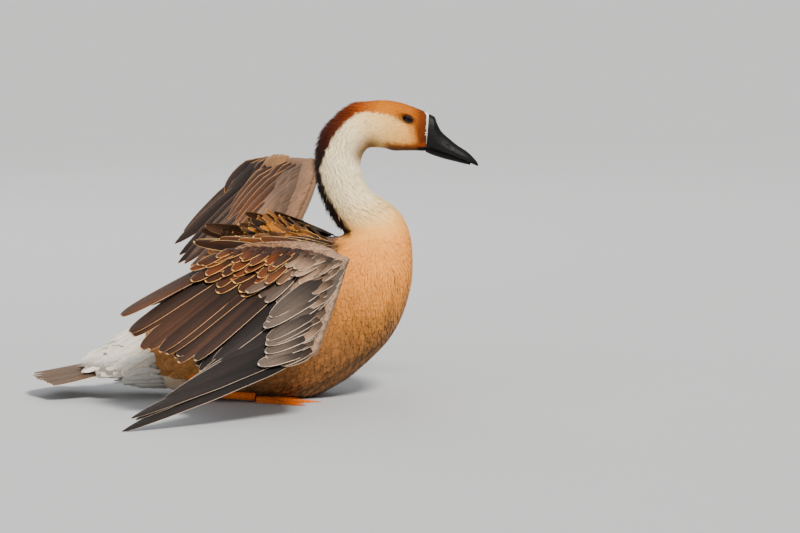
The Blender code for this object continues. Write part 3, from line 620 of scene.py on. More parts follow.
def dart_form():
    """The smallest feather: root, two sides, tip, a ridge above and a keel below."""
    u = np.array([0, 0.45, 0.45, 1, 0.45, 0.45])
    v = np.array([0, -1, 1, 0, 0, 0.0])
    high = np.array([0, 0, 0, 0, 1, -0.4])
    faces = [(0, 1, 4), (0, 4, 2), (1, 3, 4), (4, 3, 2), (0, 5, 1), (0, 2, 5), (1, 5, 3), (5, 2, 3)]
    return dict(u=u, v=v, side=v, high=high, faces=np.array(faces))


FORMS = {
    "dart": dart_form(),
    "tuft": vane_form([0, 0.5, 1], [-1, 0, 1], drawn_outline([0, 0.5, 1], [0.35, 1, 0.16])),
    "plume": vane_form([0, 0.35, 0.75, 1], [-1, 0, 1],
                       drawn_outline([0, 0.35, 0.75, 1], [0.3, 0.9, 0.95, 0.28])),
    "leaf": vane_form([0, 0.2, 0.4, 0.58, 0.75, 0.9, 1], [-1, -0.5, 0, 0.5, 1],
                      drawn_outline([0, 0.2, 0.4, 0.58, 0.75, 0.9, 1],
                                    [0.25, 0.7, 1, 0.98, 0.8, 0.46, 0.1])),
    "scale": vane_form([0, 0.3, 0.56, 0.78, 0.92, 1], [-1, -0.45, 0.45, 1],
                       round_outline(0.4, 0.4, 2.6)),
    "covert": vane_form([0, 0.2, 0.4, 0.58, 0.73, 0.84, 0.92, 0.97, 1],
                        [-1, -0.6, -0.06, 0.06, 0.6, 1], round_outline(0.3, 0.42, 2.8)),
    "flight": vane_form([*np.linspace(0, 0.88, 15), 0.93, 0.96, 0.985, 1],
                        [-1, -0.75, -0.45, -0.05, 0.05, 0.45, 0.75, 1],
                        round_outline(0.12, 0.22, 6)),
    "primary": vane_form([*np.linspace(0, 0.9, 16), 0.94, 0.97, 1],
                         [-1, -0.75, -0.45, -0.06, 0.06, 0.45, 0.75, 1],
                         drawn_outline([0, 0.06, 0.22, 0.55, 0.8, 0.93, 1],
                                       [0.12, 0.2, 0.85, 1, 0.72, 0.4, 0.1])),
}


def lay_feathers(form, root, lie, up, long, wide, thick, outer=1.0, tilt=0.0, lift=0.0, rise=0.0,
                 droop=0.0, sweep=0.0, cup=0.0, lean=0.5, ripple=0.0, seed=1):
    """Points of a whole batch of feathers, (N, P, 3), each one bent from its form.

    A point is root + lie · long · u + out · (s · cos(tilt) + sweep · long · u²) + up · h, with s
    the form's side times the width and times lean on the outer side or 1 − lean on the inner, and
    h = s · sin(tilt) + lift · long · u + rise · ease(u / 0.45) − droop · long · u²
    − cup · s² / wide + thick · height · (1 − 0.6 u)
    + ripple · wide · u · sin(pace · u + phase + 2 v), with its own pace and phase each. An outer of
    −1 mirrors the outer side, the tilt and the sweep.
    """
    n = len(root)
    u, v, side, high = (form[k][None] for k in ("u", "v", "side", "high"))
    long, wide, thick, outer, tilt, lift, rise, droop, sweep, cup = (
        np.broadcast_to(np.asarray(a, float), n)[:, None]
        for a in (long, wide, thick, outer, tilt, lift, rise, droop, sweep, cup))
    out = np.cross(up, lie)
    share = np.where(v * outer > 0, lean, 1 - lean)
    s = side * wide * share
    angle = np.radians(tilt) * outer
    h = s * np.sin(angle) + lift * long * u + rise * ease(u / 0.45) - droop * long * u**2
    h = h - cup * s**2 / wide + thick * high * (1 - 0.6 * u)
    if ripple:
        rng = np.random.default_rng(seed)
        phase, pace = rng.uniform(0, 6.3, (n, 1)), rng.uniform(4, 9, (n, 1))
        h = h + ripple * wide * np.sin(pace * u + phase + 2 * v) * u
    s = s * np.cos(angle) + sweep * outer * long * u**2
    return (root[:, None] + lie[:, None] * (long * u)[..., None] + out[:, None] * s[..., None]
            + up[:, None] * h[..., None])


def turned(lie, up, yaw, pitch=0.0):
    """The frames turned by yaw degrees about up, then raised by pitch degrees."""
    yaw, pitch = (np.radians(np.broadcast_to(np.asarray(a, float), len(lie)))[:, None]
                  for a in (yaw, pitch))
    out = np.cross(up, lie)
    lie = lie * np.cos(yaw) + out * np.sin(yaw)
    return lie * np.cos(pitch) + up * np.sin(pitch), up * np.cos(pitch) - lie * np.sin(pitch)


def tuft_patches(form, place, turn):
    """Bake patches about 0.003 across, each at its root's place on the body's own unwrap."""
    centre = np.stack([0.02 + 0.96 * place / LAST_RING, 0.5 + 0.48 * turn / np.pi], -1)
    patch = np.stack([form["u"] - 0.5, form["v"] / 2], -1) * 0.003
    return centre[:, None] + patch[None]


def sheet_patches(form, along, across):
    """Bake patches laid out in the order of the roots on the wing or back they grow from.

    Roots are sorted into rows by along and within a row by across, and each has a cell of its
    own, so that no two large feathers share a patch.
    """
    n = len(along)
    cells = math.ceil(math.sqrt(n))
    order = np.argsort(along, kind="stable")
    row, col = np.empty(n, int), np.empty(n, int)
    for k in range(cells):
        part = order[k * cells:(k + 1) * cells]
        part = part[np.argsort(across[part], kind="stable")]
        row[part], col[part] = k, np.arange(len(part))
    patch = np.stack([0.5 + 0.42 * form["v"], 0.08 + 0.84 * form["u"]], -1)
    return (np.stack([col, row], -1)[:, None] + patch[None]) / cells


def harden_rims(made, form, count):
    """Marks as hard the edges that a feather's top shares with its underside."""
    half = len(form["faces"]) // 2
    on_top = np.zeros((count, count), bool)
    below = on_top.copy()
    for side, faces in ((on_top, form["faces"][:half]), (below, form["faces"][half:])):
        for a, b in ((0, 1), (1, 2), (2, 0)):
            side[faces[:, a], faces[:, b]] = side[faces[:, b], faces[:, a]] = True
    edges = np.empty(len(made.data.edges) * 2, np.int32)
    made.data.edges.foreach_get("vertices", edges)
    a, b = (edges.reshape(-1, 2) % count).T
    hard = made.data.attributes.new("sharp_edge", "BOOLEAN", "EDGE")
    hard.data.foreach_set("value", (on_top & below)[a, b])


def feather_piece(name, form, points, material, slot, tint, bake, edging=None, half=None, long=None,
                  band=None, outer=1.0, root_dark_and_shade=0.75, lit=(0.0, 0.75), web=0.0):
    """One mesh of a batch: tint (N, 3) darkened towards the root, edging (N, 4) for the rim.

    half, long and band are half the width, the length and the rim band in millimetres; the
    attribute size holds them as shares of 100 mm for the material. The root's darkening, partly the
    feathers' darker bases and partly painted shade where other feathers overlap them, fades over
    the shares lit of the length, and web makes the outer vane paler than the inner one.
    """
    n, p = points.shape[:2]
    points[..., 2] = np.maximum(points[..., 2], 0)
    faces = (form["faces"][None] + (np.arange(n) * p)[:, None, None]).reshape(-1, 3)
    # Darker towards the root: partly the feathers' darker bases, partly painted shade where other
    # feathers overlap them.
    shade = root_dark_and_shade + (1 - root_dark_and_shade) * ease(form["u"], *lit)
    shade = shade * (1 + web * np.clip(form["v"] * outer * 4, -1, 1))
    layers = {"OFBake": bake.reshape(-1, 2)}
    colours = {"tint": (tint[:, None] * shade[:, None]).reshape(-1, 3)}
    if edging is not None:
        layers["Vane"] = np.tile(np.stack([(form["v"] * outer + 1) / 2, form["u"]], -1), (n, 1))
        size = np.stack([np.broadcast_to(np.asarray(a, float), n) for a in (half, long, band)], -1)
        colours["size"] = np.repeat(size / 100, p, axis=0)
        colours["edging"] = np.repeat(edging, p, axis=0)
    made = build_mesh(name, points.reshape(-1, 3), faces, material, colours, layers)
    harden_rims(made, form, p)
    add_piece(made, slot)


# Skin, eyes and bill

def eye_distance(spot):
    """Distance from the nearer eye's middle in the XZ plane, in shares of its almond opening."""
    x, z = spot[..., 0] - EYE_PLACE[0], spot[..., 2] - EYE_PLACE[2]
    return np.hypot(x / EYE_OPENING[0], (z + x * LID_SLOPE / LID_LONG) / EYE_OPENING[1])


def eye_swelling(spot):
    """How far the skin swells round the eye, more over it than under it, and sinks at its opening."""
    around = eye_distance(spot)
    over = np.tanh((spot[..., 2] - EYE_PLACE[2]) / LID_HIGH)
    sunk = 4.5 * (1 - ease(around, 0.7, 1.05))
    return (1.6 + 1.1 * over) * hump((around - 1.35) / 0.45) - sunk


def make_skin(material):
    """The head, neck, body and tail root in one skin, under the coat by its depth, and darker as painted
    shade between the feathers.
    """
    places = np.concatenate([np.linspace(0, 5, 84), np.linspace(5.1, 17, 80), np.linspace(17.2, 31, 60)])
    turns = np.linspace(-np.pi, np.pi, 181)[:-1]
    place, turn = np.meshgrid(places, turns, indexing="ij")
    spot, _, normal = body_frame(place, turn)
    deep = read(COAT_DEEP, place) + FURROW_DEEP * neck_furrows(place, turn) - eye_swelling(spot)
    tint = body_colour(place, turn, spot) * SKIN_PAINTED_SHADE
    points, faces = closed_grid(spot - normal * deep[..., None])
    points[:, 2] = np.maximum(points[:, 2], 0)
    tint = np.concatenate([tint.reshape(-1, 3), tint[0, :1], tint[-1, :1]])
    made = build_mesh("skin", points, faces, material, {"tint": tint})
    add_piece(made, "body plumage", "head", "neck_upper", "neck_lower", "torso", "tail")


PUPIL, IRIS, EYE_BACK = colour(4, 4, 4), colour(34, 17, 9), colour(8, 6, 5)


def make_eyes(eye, lid):
    """Eyeballs as rings about the Y axis, with a bulging cornea, and almond lids as tubes."""
    for side, name in ((-1, "right"), (1, "left")):
        centre = np.array([EYE_PLACE[0], side * EYE_PLACE[1], EYE_PLACE[2]])
        polar = np.linspace(0.04, np.pi - 0.04, 40)[:, None]
        turn = np.linspace(0, 2 * np.pi, 49)[None, :-1] * side
        radius = EYE_RADIUS * 0.97 * (1 + 0.05 * hump(polar / 0.5))
        rings = np.stack([radius * np.sin(polar) * np.cos(turn),
                          side * radius * np.cos(polar) * np.ones_like(turn),
                          radius * np.sin(polar) * np.sin(turn)], -1) + centre
        points, faces = closed_grid(rings)
        tint = np.where(polar < 0.3, PUPIL, np.where(polar < 0.72, IRIS, EYE_BACK))
        tint = np.concatenate([np.repeat(tint, turn.size, axis=0), tint[:1], tint[-1:]])
        ball = build_mesh(f"eyeball_{name}", points, faces, eye, {"tint": tint})
        add_piece(ball, "iris", f"eye_{name}")
        turn = np.linspace(0, 2 * np.pi, 65)[:-1]
        x = LID_LONG * np.cos(turn) * (1 + 0.14 * np.abs(np.cos(turn)) ** 6)
        z = LID_HIGH * np.sin(turn) - LID_SLOPE * np.cos(turn)
        y = np.sqrt(np.maximum(EYE_RADIUS**2 - x**2 - z**2, 1)) + 0.25
        path = np.stack([x, side * y, z], -1) + centre
        out = unit(np.stack([x, 0 * x, z], -1))
        around = np.linspace(0, 2 * np.pi, 11)[:-1] * side
        rings = (path[:, None] + LID_WIDE * np.cos(around)[None, :, None] * out[:, None]
                 + LID_THICK * np.sin(around)[None, :, None] * np.array([0, side, 0.0]))
        quads = ring_quads(*rings.shape[:2], closed=True)
        add_piece(build_mesh(f"lid_{name}", rings.reshape(-1, 3), quads, lid), "head plumage")


# Bill rings: culmen (x, z), cutting edge (x, z), half width. The lower bill's run the other way.
UPPER_BILL = np.array([
    (187.0, 366.6, 183.4, 320.0, 13.3), (194.3, 361.5, 188.8, 321.4, 13.4),
    (197.6, 354.5, 193.1, 320.6, 13.3), (203.4, 344.0, 199.6, 318.7, 13.0),
    (214.0, 334.2, 210.0, 315.4, 12.6), (224.4, 325.8, 221.0, 311.2, 11.8),
    (235.0, 319.0, 232.1, 307.0, 10.6), (243.0, 312.0, 241.0, 303.5, 8.8),
    (248.3, 305.5, 246.8, 300.8, 6.4), (251.0, 300.6, 250.2, 299.0, 2.6),
])
LOWER_BILL = np.array([
    (183.2, 323.4, 182.4, 317.6, 11.4), (193.1, 320.0, 191.2, 313.6, 11.6),
    (209.6, 315.0, 207.2, 308.4, 11.0), (220.8, 310.9, 219.4, 305.4, 10.2),
    (232.0, 306.6, 231.2, 302.4, 8.8), (241.0, 303.2, 240.4, 300.4, 6.0),
])


def bill_skin(table, flip):
    """A bill's half as closed rings: an arch z = low + (high − low) · sin, y = half · cos, over a
    palate that rises a little, read smoothly along its table. flip turns it over."""
    at = np.linspace(0, len(table) - 1, 90)[:, None]
    high_x, high_z, low_x, low_z, half = smooth_table(range(len(table)), table, at[:, 0]).T[..., None]
    turn = np.linspace(0, 2 * np.pi, 65)[None, :-1]
    sine, cosine = np.sin(turn), np.cos(turn)
    rise = np.where(sine > 0, np.abs(sine) ** 0.9, 0 if flip else 0.06 * np.abs(sine))
    y = half * np.sign(cosine) * np.abs(cosine) ** 0.92
    if flip:
        high_x, high_z, low_x, low_z, y = low_x, low_z, high_x, high_z, -y
    x, z = low_x + (high_x - low_x) * rise, low_z + (high_z - low_z) * rise
    return np.stack([x, y, z], -1), at, sine


def make_bill(horn):
    """Upper and lower bill: nostrils, a groove over the cutting edge, a knob and a nail.

    along and across run from the nostril's middle, by the bill's ridge and square to it.
    """
    rings, at, sine = bill_skin(UPPER_BILL, False)
    out = unit(rings - rings.mean(1, keepdims=True))
    x, y, z = np.moveaxis(rings, -1, 0)
    along = x - 214
    across = z - (325.2 - 0.62 * along)
    flank = np.abs(y) > 5
    nostril = hump(along / 3.6, across) * flank
    lip = hump(along / 6.0, across / 2.6) * flank
    dent = hump((along + 2) / 11, (across - 1) / 5) * flank
    knob = hump((at - 1.0) / 0.8) * ease(sine, 0.55, 1)
    nail = ease(at, 7.5, 8.1) * ease(sine, 0.5, 0.9)
    groove = hump((sine - 0.16) / 0.07) * ease(at, 1.2, 2.5)
    move = 0.4 * lip - 1.5 * nostril - 0.8 * dent + 1.3 * knob + 0.5 * nail - 0.55 * groove
    ridges = 0.12 * np.sin(at * 38) * (np.abs(sine) < 0.12) * ease(at, 2, 3)
    upper, lower = rings + out * (move + ridges)[..., None], bill_skin(LOWER_BILL, True)[0]
    for name, rings, solid in (("bill_top", upper, "bill_upper"), ("bill_bottom", lower, "bill_lower")):
        points, faces = closed_grid(rings)
        add_piece(build_mesh(name, points, faces[:, ::-1], horn), "horn", solid)


# Coat

# Bands of small feathers: form, first and last place, the steps from row to row and within a row as
# shares of their length and width, whether the back is left out, thickness as a share of the
# width, how much the tints vary, and the darkening at the root, partly darker bases and partly
# painted shade between the feathers.
COAT_BANDS = {
    "coat_face": ("dart", 0.05, 3.2, 0.3, 0.68, False, 0.1, 0.14, 0.7),
    "coat_nape": ("dart", 3.2, 7, 0.3, 0.68, False, 0.1, 0.13, 0.72),
    "coat_neck": ("dart", 7, 16, 0.36, 0.74, False, 0.1, 0.12, 0.75),
    "coat_breast": ("tuft", 16, 21, 0.28, 0.62, True, 0.04, 0.05, 0.93),
    "coat_belly": ("plume", 21, 31, 0.28, 0.62, True, 0.03, 0.06, 0.9),
}
# How far down from the back its large feathers reach, as |turn| / pi by place.
BACK_LIMIT = ([18, 19, 20.5, 22.5, 24, 26, 28, 31], [0.1, 0.26, 0.32, 0.4, 0.56, 0.7, 0.62, 0.5])
RUMP, BACK_EDGE = colour(86, 70, 58), colour(204, 164, 116)


def hackles(place, turn):
    """Where the hindneck's dark feathers stand up raggedly, 0 to 1."""
    a = np.abs(turn) / np.pi
    return ease(place, 4.8, 6.2) * (1 - ease(place, 15, 17)) * (1 - ease(a, 0.16, 0.3))


def on_back(place, turn):
    """Where the body carries large brown feathers: the back, the rump and the flanks."""
    return np.abs(turn) / np.pi < read(BACK_LIMIT, place)


def coat_band(name, material, rng):
    """Small feathers of the body between two places, rooted in the skin, tips just proud."""
    form_name, first, last, row, gap, bare_back, flat, varied, root_dark_and_shade = COAT_BANDS[name]
    form = FORMS[form_name]
    place, turn = body_rows(first, last, (TUFT_PLACES, TUFT_LONG[1] * row),
                            (TUFT_PLACES, TUFT_WIDE[1] * gap), rng)
    chosen = eye_distance(body_spot(place, turn)) > EYE_CLEAR
    if bare_back:
        chosen &= ~on_back(place, turn)
    place, turn = place[chosen], turn[chosen]
    spot, along, normal = body_frame(place, turn)
    n = len(place)
    long = read(TUFT_LONG, place) * rng.uniform(0.85, 1.15, n)
    wide = read(TUFT_WIDE, place) * rng.uniform(0.85, 1.15, n)
    deep = read(COAT_DEEP, place) + FURROW_DEEP * neck_furrows(place, turn)
    tint = body_colour(place, turn, spot) * rng.uniform(1 - varied, 1 + varied, (n, 1))
    tint = tint * np.where(rng.random(n) < 0.1, 1 - 2 * varied, 1)[:, None]
    hackle = hackles(place, turn)
    steep = np.degrees(np.arctan2(deep * 0.95, long)) + hackle * rng.uniform(4, 26, n)
    lie, up = turned(along, normal, rng.normal(0, 5, n) + hackle * rng.normal(0, 8, n), steep)
    long = long * (1 + 0.5 * hackle)
    root = spot - normal * (deep - np.maximum(eye_swelling(spot), 0))[:, None]
    points = lay_feathers(form, root, lie, up, long, wide, wide * flat, cup=0.14, droop=0.03)
    feather_piece(name, form, points, material, "body plumage", tint, tuft_patches(form, place, turn),
                  root_dark_and_shade=root_dark_and_shade)


def make_coat(down, vane, rng):
    """The small feathers in bands from the face to the vent, and large ones on the back."""
    for name in COAT_BANDS:
        coat_band(name, down, rng)
    form = FORMS["scale"]
    place, turn = body_rows(18, 31, ([17, 31], [8, 9.5]), ([17, 31], [9.5, 11]), rng)
    chosen = on_back(place, turn)
    place, turn = place[chosen], turn[chosen]
    spot, along, normal = body_frame(place, turn)
    n = len(place)
    a = np.abs(turn) / np.pi
    long, wide = rng.uniform(26, 34, n), rng.uniform(15, 19, n)
    lie, up = turned(along, normal, rng.normal(0, 5, n), 9)
    root = spot - normal * read(COAT_DEEP, place)[:, None]
    points = lay_feathers(form, root, lie, up, long, wide, 1.0, cup=0.4, droop=0.06, ripple=0.03)
    side = ease(a, 0.2, 0.5)
    rump = ease(place, 27, 29.5) * (1 - side * 0.4)
    tint = mix(mix(BROWN_BACK, FLANK, side), RUMP, rump * 0.6) * rng.uniform(0.82, 1.14, (n, 1))
    power = rng.uniform(0.6, 0.9, n) * (1 - 0.6 * ease(a, 0.3, 0.55))
    feather_piece("coat_back", form, points, vane, "body plumage", tint,
                  sheet_patches(form, place, turn), rims(BACK_EDGE, power), half=wide / 2, long=long,
                  band=1.3)


# Wings

def wing_line(wing):
    """Shoulder, elbow, wrist and hand tip of a wing."""
    spots = [np.array(wing["shoulder"], float)]
    for bone, long in (("humerus", HUMERUS), ("forearm", FOREARM), ("hand", HAND)):
        spots.append(spots[-1] + unit(wing[bone]) * long)
    return np.array(spots)


def wing_frame(wing, t):
    """Bone line, lie of the feathers and way to the upper side at the places t of a wing."""
    line = wing_line(wing)
    i = np.clip(np.floor(t + 1), 0, 2).astype(int)
    spot = line[i] + (line[i + 1] - line[i]) * (t + 1 - i)[:, None]
    at = np.maximum(t, INNERMOST)
    lie = unit(smooth_table(*zip(*wing["lie"]), at))
    up = np.where((t < 1)[:, None], smooth_table(*zip(*wing["back"]), np.minimum(at, 1)),
                  smooth_table(*zip(*wing["hand_back"]), np.maximum(at, 1)))
    return spot, lie, square_to(up, lie)


def arm_slice(wing, t):
    """Front edge, rear edge, upper side and thickness of the fleshy wing at the places t."""
    shoulder, _, wrist, _ = wing_line(wing)
    spot, lie, up = wing_frame(wing, t)
    wrist_lie = wing_frame(wing, np.array([1.0]))[1][0]
    s = ((t + 1) / 2)[:, None]
    line = [shoulder + (16, 0, 0), np.array(wing["notch"], float), wrist - wrist_lie * 8]
    web_front = smooth_table([0, 0.5, 1], line, s[:, 0])
    web_rear = spot + lie * (18 - 10 * s)
    ahead, behind, thick = smooth_table(*FOREARM_FLESH, np.maximum(t, FOREARM_FLESH[0][0])).T[..., None]
    inner = (t < 0)[:, None]
    front = np.where(inner, web_front, spot - lie * ahead)
    rear = np.where(inner, web_rear, spot + lie * behind)
    up = np.where(inner, unit(wing["web"]), up)
    return front, rear, up, np.where(inner, 34 - 24 * s, thick)[:, 0]


def bulge(f):
    """Height of an arm's egg-shaped slice at a share f of its chord, from the rear edge, as a share
    of its thickness: √(f (1 − f)) · (1 − EGG (1 − f))."""
    return np.sqrt(f * (1 - f)) * (1 - EGG * (1 - f))


def on_arm(wing, t, share, under=False):
    """Point of the arm's skin at a share of its chord ahead of the rear edge, the way it runs
    back from there, and its normal."""
    front, rear, up, thick = arm_slice(wing, t)
    share = np.broadcast_to(np.asarray(share, float), np.shape(t))
    over = -1 if under else 1

    def skin(f):
        f = np.clip(f, 0.001, 0.999)
        return rear + (front - rear) * f[:, None] + up * (bulge(f) * thick * over)[:, None]

    run = unit(skin(share - 0.04) - skin(share + 0.04))
    return skin(share), run, square_to(up, run) * over


def make_arm(side, material):
    """The fleshy wing in two closed lofts of egg-shaped slices, just inside the solids."""
    wing = WINGS[side]
    t = np.linspace(-0.08, 2.02, 60)
    spot, lie, up = wing_frame(wing, t)
    ahead, behind, thick = smooth_table(*FOREARM_FLESH, t).T
    lofts = (arm_slice(wing, np.minimum(np.linspace(-0.97, 0, 30), -1e-6)),
             (spot - lie * ahead[:, None], spot + lie * behind[:, None], up, thick))
    turn = np.linspace(0, 2 * np.pi, 33)[:-1]
    along = (1 - np.cos(turn)) / 2
    high = np.sin(turn) * (1 - EGG * along)
    points, faces = [], []
    for front, rear, up, thick in lofts:
        rings = (front[:, None] + along[None, :, None] * (rear - front)[:, None]
                 + (high[None] * (thick[:, None] / 2 - ARM_INSIDE))[..., None] * up[:, None])
        part, triangles = closed_grid(rings[:, ::-1] if side == "right" else rings)
        faces.append(triangles + sum(len(p) for p in points))
        points.append(part)
    points, faces = np.concatenate(points), np.concatenate(faces)
    tint = np.tile(ARM_SKIN, (len(points), 1))
    made = build_mesh(f"arm_{side}", points, faces, material, {"tint": tint})
    add_piece(made, "wing feathers", f"wing_{side}")


MAUVE, GREY = colour(156, 127, 106), colour(94, 82, 74)
INNER_MAUVE, FAR_MAUVE = colour(112, 76, 50), colour(140, 108, 86)
CHESTNUT, DARK_BROWN, BLACKISH = colour(84, 46, 25), colour(65, 43, 31), colour(42, 36, 34)
CREAM_EDGE, PALE_EDGE, TAN_EDGE = colour(250, 206, 150), colour(214, 192, 170), colour(204, 158, 118)
ORANGE_EDGE, GOLD_EDGE = colour(240, 172, 108), colour(236, 182, 118)
FAR_BROWN, FAR_DARK, ALULA_TAN = colour(100, 62, 38), colour(60, 44, 36), colour(170, 126, 90)
ARM_SKIN, UNDER_GREY, UNDER_EDGE = colour(120, 94, 76), colour(140, 122, 106), colour(182, 166, 150)
# By side and kind of feather: its colour near the body and towards the tip, the same for its edge,
# the edge's strength, how much the tint varies, from where to where along the wing the one colour
# turns into the other, and how unevenly.
MIDDLE, OUTER = (0.5, 0.82), (1.2, 1.8)
FAR_EDGES = (ORANGE_EDGE, ORANGE_EDGE * 0.6)
FAR_SCALES = (FAR_MAUVE, FAR_MAUVE, FAR_MAUVE * 1.3, FAR_MAUVE * 1.3, 0.5, (0.8, 1.12), MIDDLE, 0)
WING_LOOKS = {
    "right": dict(
        greater=(CHESTNUT * 0.6, GREY, GOLD_EDGE, PALE_EDGE, 0.95, (0.65, 1.15), MIDDLE, 0.05),
        median=(CHESTNUT, MAUVE * 0.75, GOLD_EDGE, PALE_EDGE * 0.85, 0.82, (0.35, 1.45), MIDDLE, 0.05),
        lesser=(INNER_MAUVE, MAUVE, MAUVE * 1.55, MAUVE * 1.55, 0.8, (0.55, 1.2), (0.1, 0.75), 0.05),
        flight=(DARK_BROWN, BLACKISH, TAN_EDGE, PALE_EDGE * 0.8, 0.85, (0.5, 1.4), MIDDLE, 0.05),
    ),
    "left": dict(
        greater=(FAR_BROWN, FAR_DARK, *FAR_EDGES, 0.95, (0.65, 1.15), OUTER, 0),
        median=FAR_SCALES,
        lesser=FAR_SCALES,
        flight=(FAR_DARK * 1.2, FAR_DARK, *FAR_EDGES, 0.85, (0.5, 1.4), OUTER, 0),
    ),
}

# Flight feathers: wing span, count, width, form, how far their roots stand behind and above the
# bone, and how loosely they are turned.
FLIGHTS = {
    "tertials": ((-0.84, -0.05), 14, 25, "flight", 4, 1.5, 3.4),
    "secondaries": ((0.02, 0.97), 20, 27, "flight", 4, 0, 2.0),
    "primaries": ((1.04, 1.98), 10, 26, "primary", 2, 0, 0.9),
}
# By side: how loosely median coverts are turned, the darkening at the root of all coverts, partly
# their darker bases and partly painted shade under the row above, the width of their edge band and
# how far they sweep outwards.
COVERT_LOOKS = {"right": (6, 0.2, 1.7, 0.0), "left": (3.5, 0.4, 2.8, -0.12)}
# Rows of the upper side: wing span, count, share of the chord ahead of its rear edge, length,
# width, how far it follows the flight feathers' lie, lift of the tips, how much that varies, rise
# and kind.
ARM_SPAN, HAND_SPAN = (-0.86, 0.99), (1.03, 1.95)
UPPER_ROWS = {
    "right": [
        (ARM_SPAN, 25, 0.14, 62, 24, 1.0, 0.03, 0.03, 4, "greater"),
        (ARM_SPAN, 32, 0.28, 55, 18, 0.9, 0.05, 0.05, 6, "median"),
        (ARM_SPAN, 35, 0.41, 48, 16, 0.75, 0.08, 0.08, 7, "median"),
        (ARM_SPAN, 38, 0.52, 42, 15, 0.65, 0.08, 0.09, 7, "median"),
        (ARM_SPAN, 41, 0.62, 36, 14, 0.5, 0.07, 0.07, 6, "median"),
        (ARM_SPAN, 44, 0.71, 30, 13, 0.4, 0.05, 0.05, 4, "median"),
        (HAND_SPAN, 10, 0.3, 84, 24, 1.0, 0.05, 0.02, 6, "greater"),
        (HAND_SPAN, 13, 0.55, 50, 18, 0.9, 0.05, 0.03, 4, "median"),
    ],
    "left": [
        (ARM_SPAN, 10, 0.16, 140, 44, 1.0, 0.04, 0.02, 5, "greater"),
        (ARM_SPAN, 13, 0.32, 92, 36, 0.95, 0.05, 0.02, 6, "median"),
        (ARM_SPAN, 24, 0.46, 72, 24, 0.8, 0.04, 0.02, 5, "median"),
        (ARM_SPAN, 28, 0.62, 52, 20, 0.6, 0.03, 0.02, 4, "median"),
        (HAND_SPAN, 8, 0.3, 118, 32, 1.0, 0.03, 0.02, 5, "greater"),
        ((1.16, 1.95), 9, 0.6, 60, 22, 0.9, 0.03, 0.02, 4, "greater"),
    ],
}
# The near wing's greater coverts are longer towards the wrist. The small scales stand in rows, each
# with its share of the chord and its length.
GREATER_LONG = ([-0.86, 0.4, 0.7, 1.0, 1.4, 2.0], [1.0, 1.0, 1.25, 1.35, 1.1, 0.9])
LESSER_SHARES = (0.38, 0.46, 0.54, 0.61, 0.68, 0.74, 0.8, 0.85, 0.89, 0.93, 0.96, 0.985, 0.997)
LESSER_LONG = (24, 23, 22, 21, 20, 18, 16, 15, 14, 13, 12, 11, 10)
# The share of the chord, counted from its rear edge, at which the small scales begin, by t.
SCALES_FROM = {
    "right": ([-0.3, 0, 0.75, 0.95, 1.3, 2], [0.72, 0.74, 0.62, 0.4, 0.36, 0.5]),
    "left": ([-0.3, 0, 0.8, 1.1, 1.3, 2], [0.6, 0.5, 0.42, 0.5, 0.78, 0.84]),
}


def wing_tints(t, kind, side, rng):
    """Colour of upper wing feathers by place, kind and side, with the colour of their edges."""
    n = len(t)
    inner, outer, inner_edge, outer_edge, power, varied, reach, blur = WING_LOOKS[side][kind]
    share = ease(t + rng.normal(0, blur, n), *reach)
    tint = mix(inner, outer, share) * rng.uniform(*varied, (n, 1))
    return tint, rims(mix(inner_edge, outer_edge, share), power * rng.uniform(0.75, 1.05, n))


def wing_batch(name, wing, form_name, root, lie, up, t, long, wide, tints, vane, thick, band,
               root_dark_and_shade=0.75, lit=(0.0, 0.75), web=0.0, **bend):
    """A batch of one wing's feathers, mirrored by its side and laid out for baking by t."""
    form = FORMS[form_name]
    outer = -float(wing["side"])
    points = lay_feathers(form, root, lie, up, long, wide, thick, outer=outer, **bend)
    tint, edging = tints
    feather_piece(name, form, points, vane, "wing feathers", tint,
                  sheet_patches(form, t, np.zeros(len(t))), edging, half=np.asarray(wide) / 2,
                  long=long, band=band, outer=outer, root_dark_and_shade=root_dark_and_shade, lit=lit, web=web)


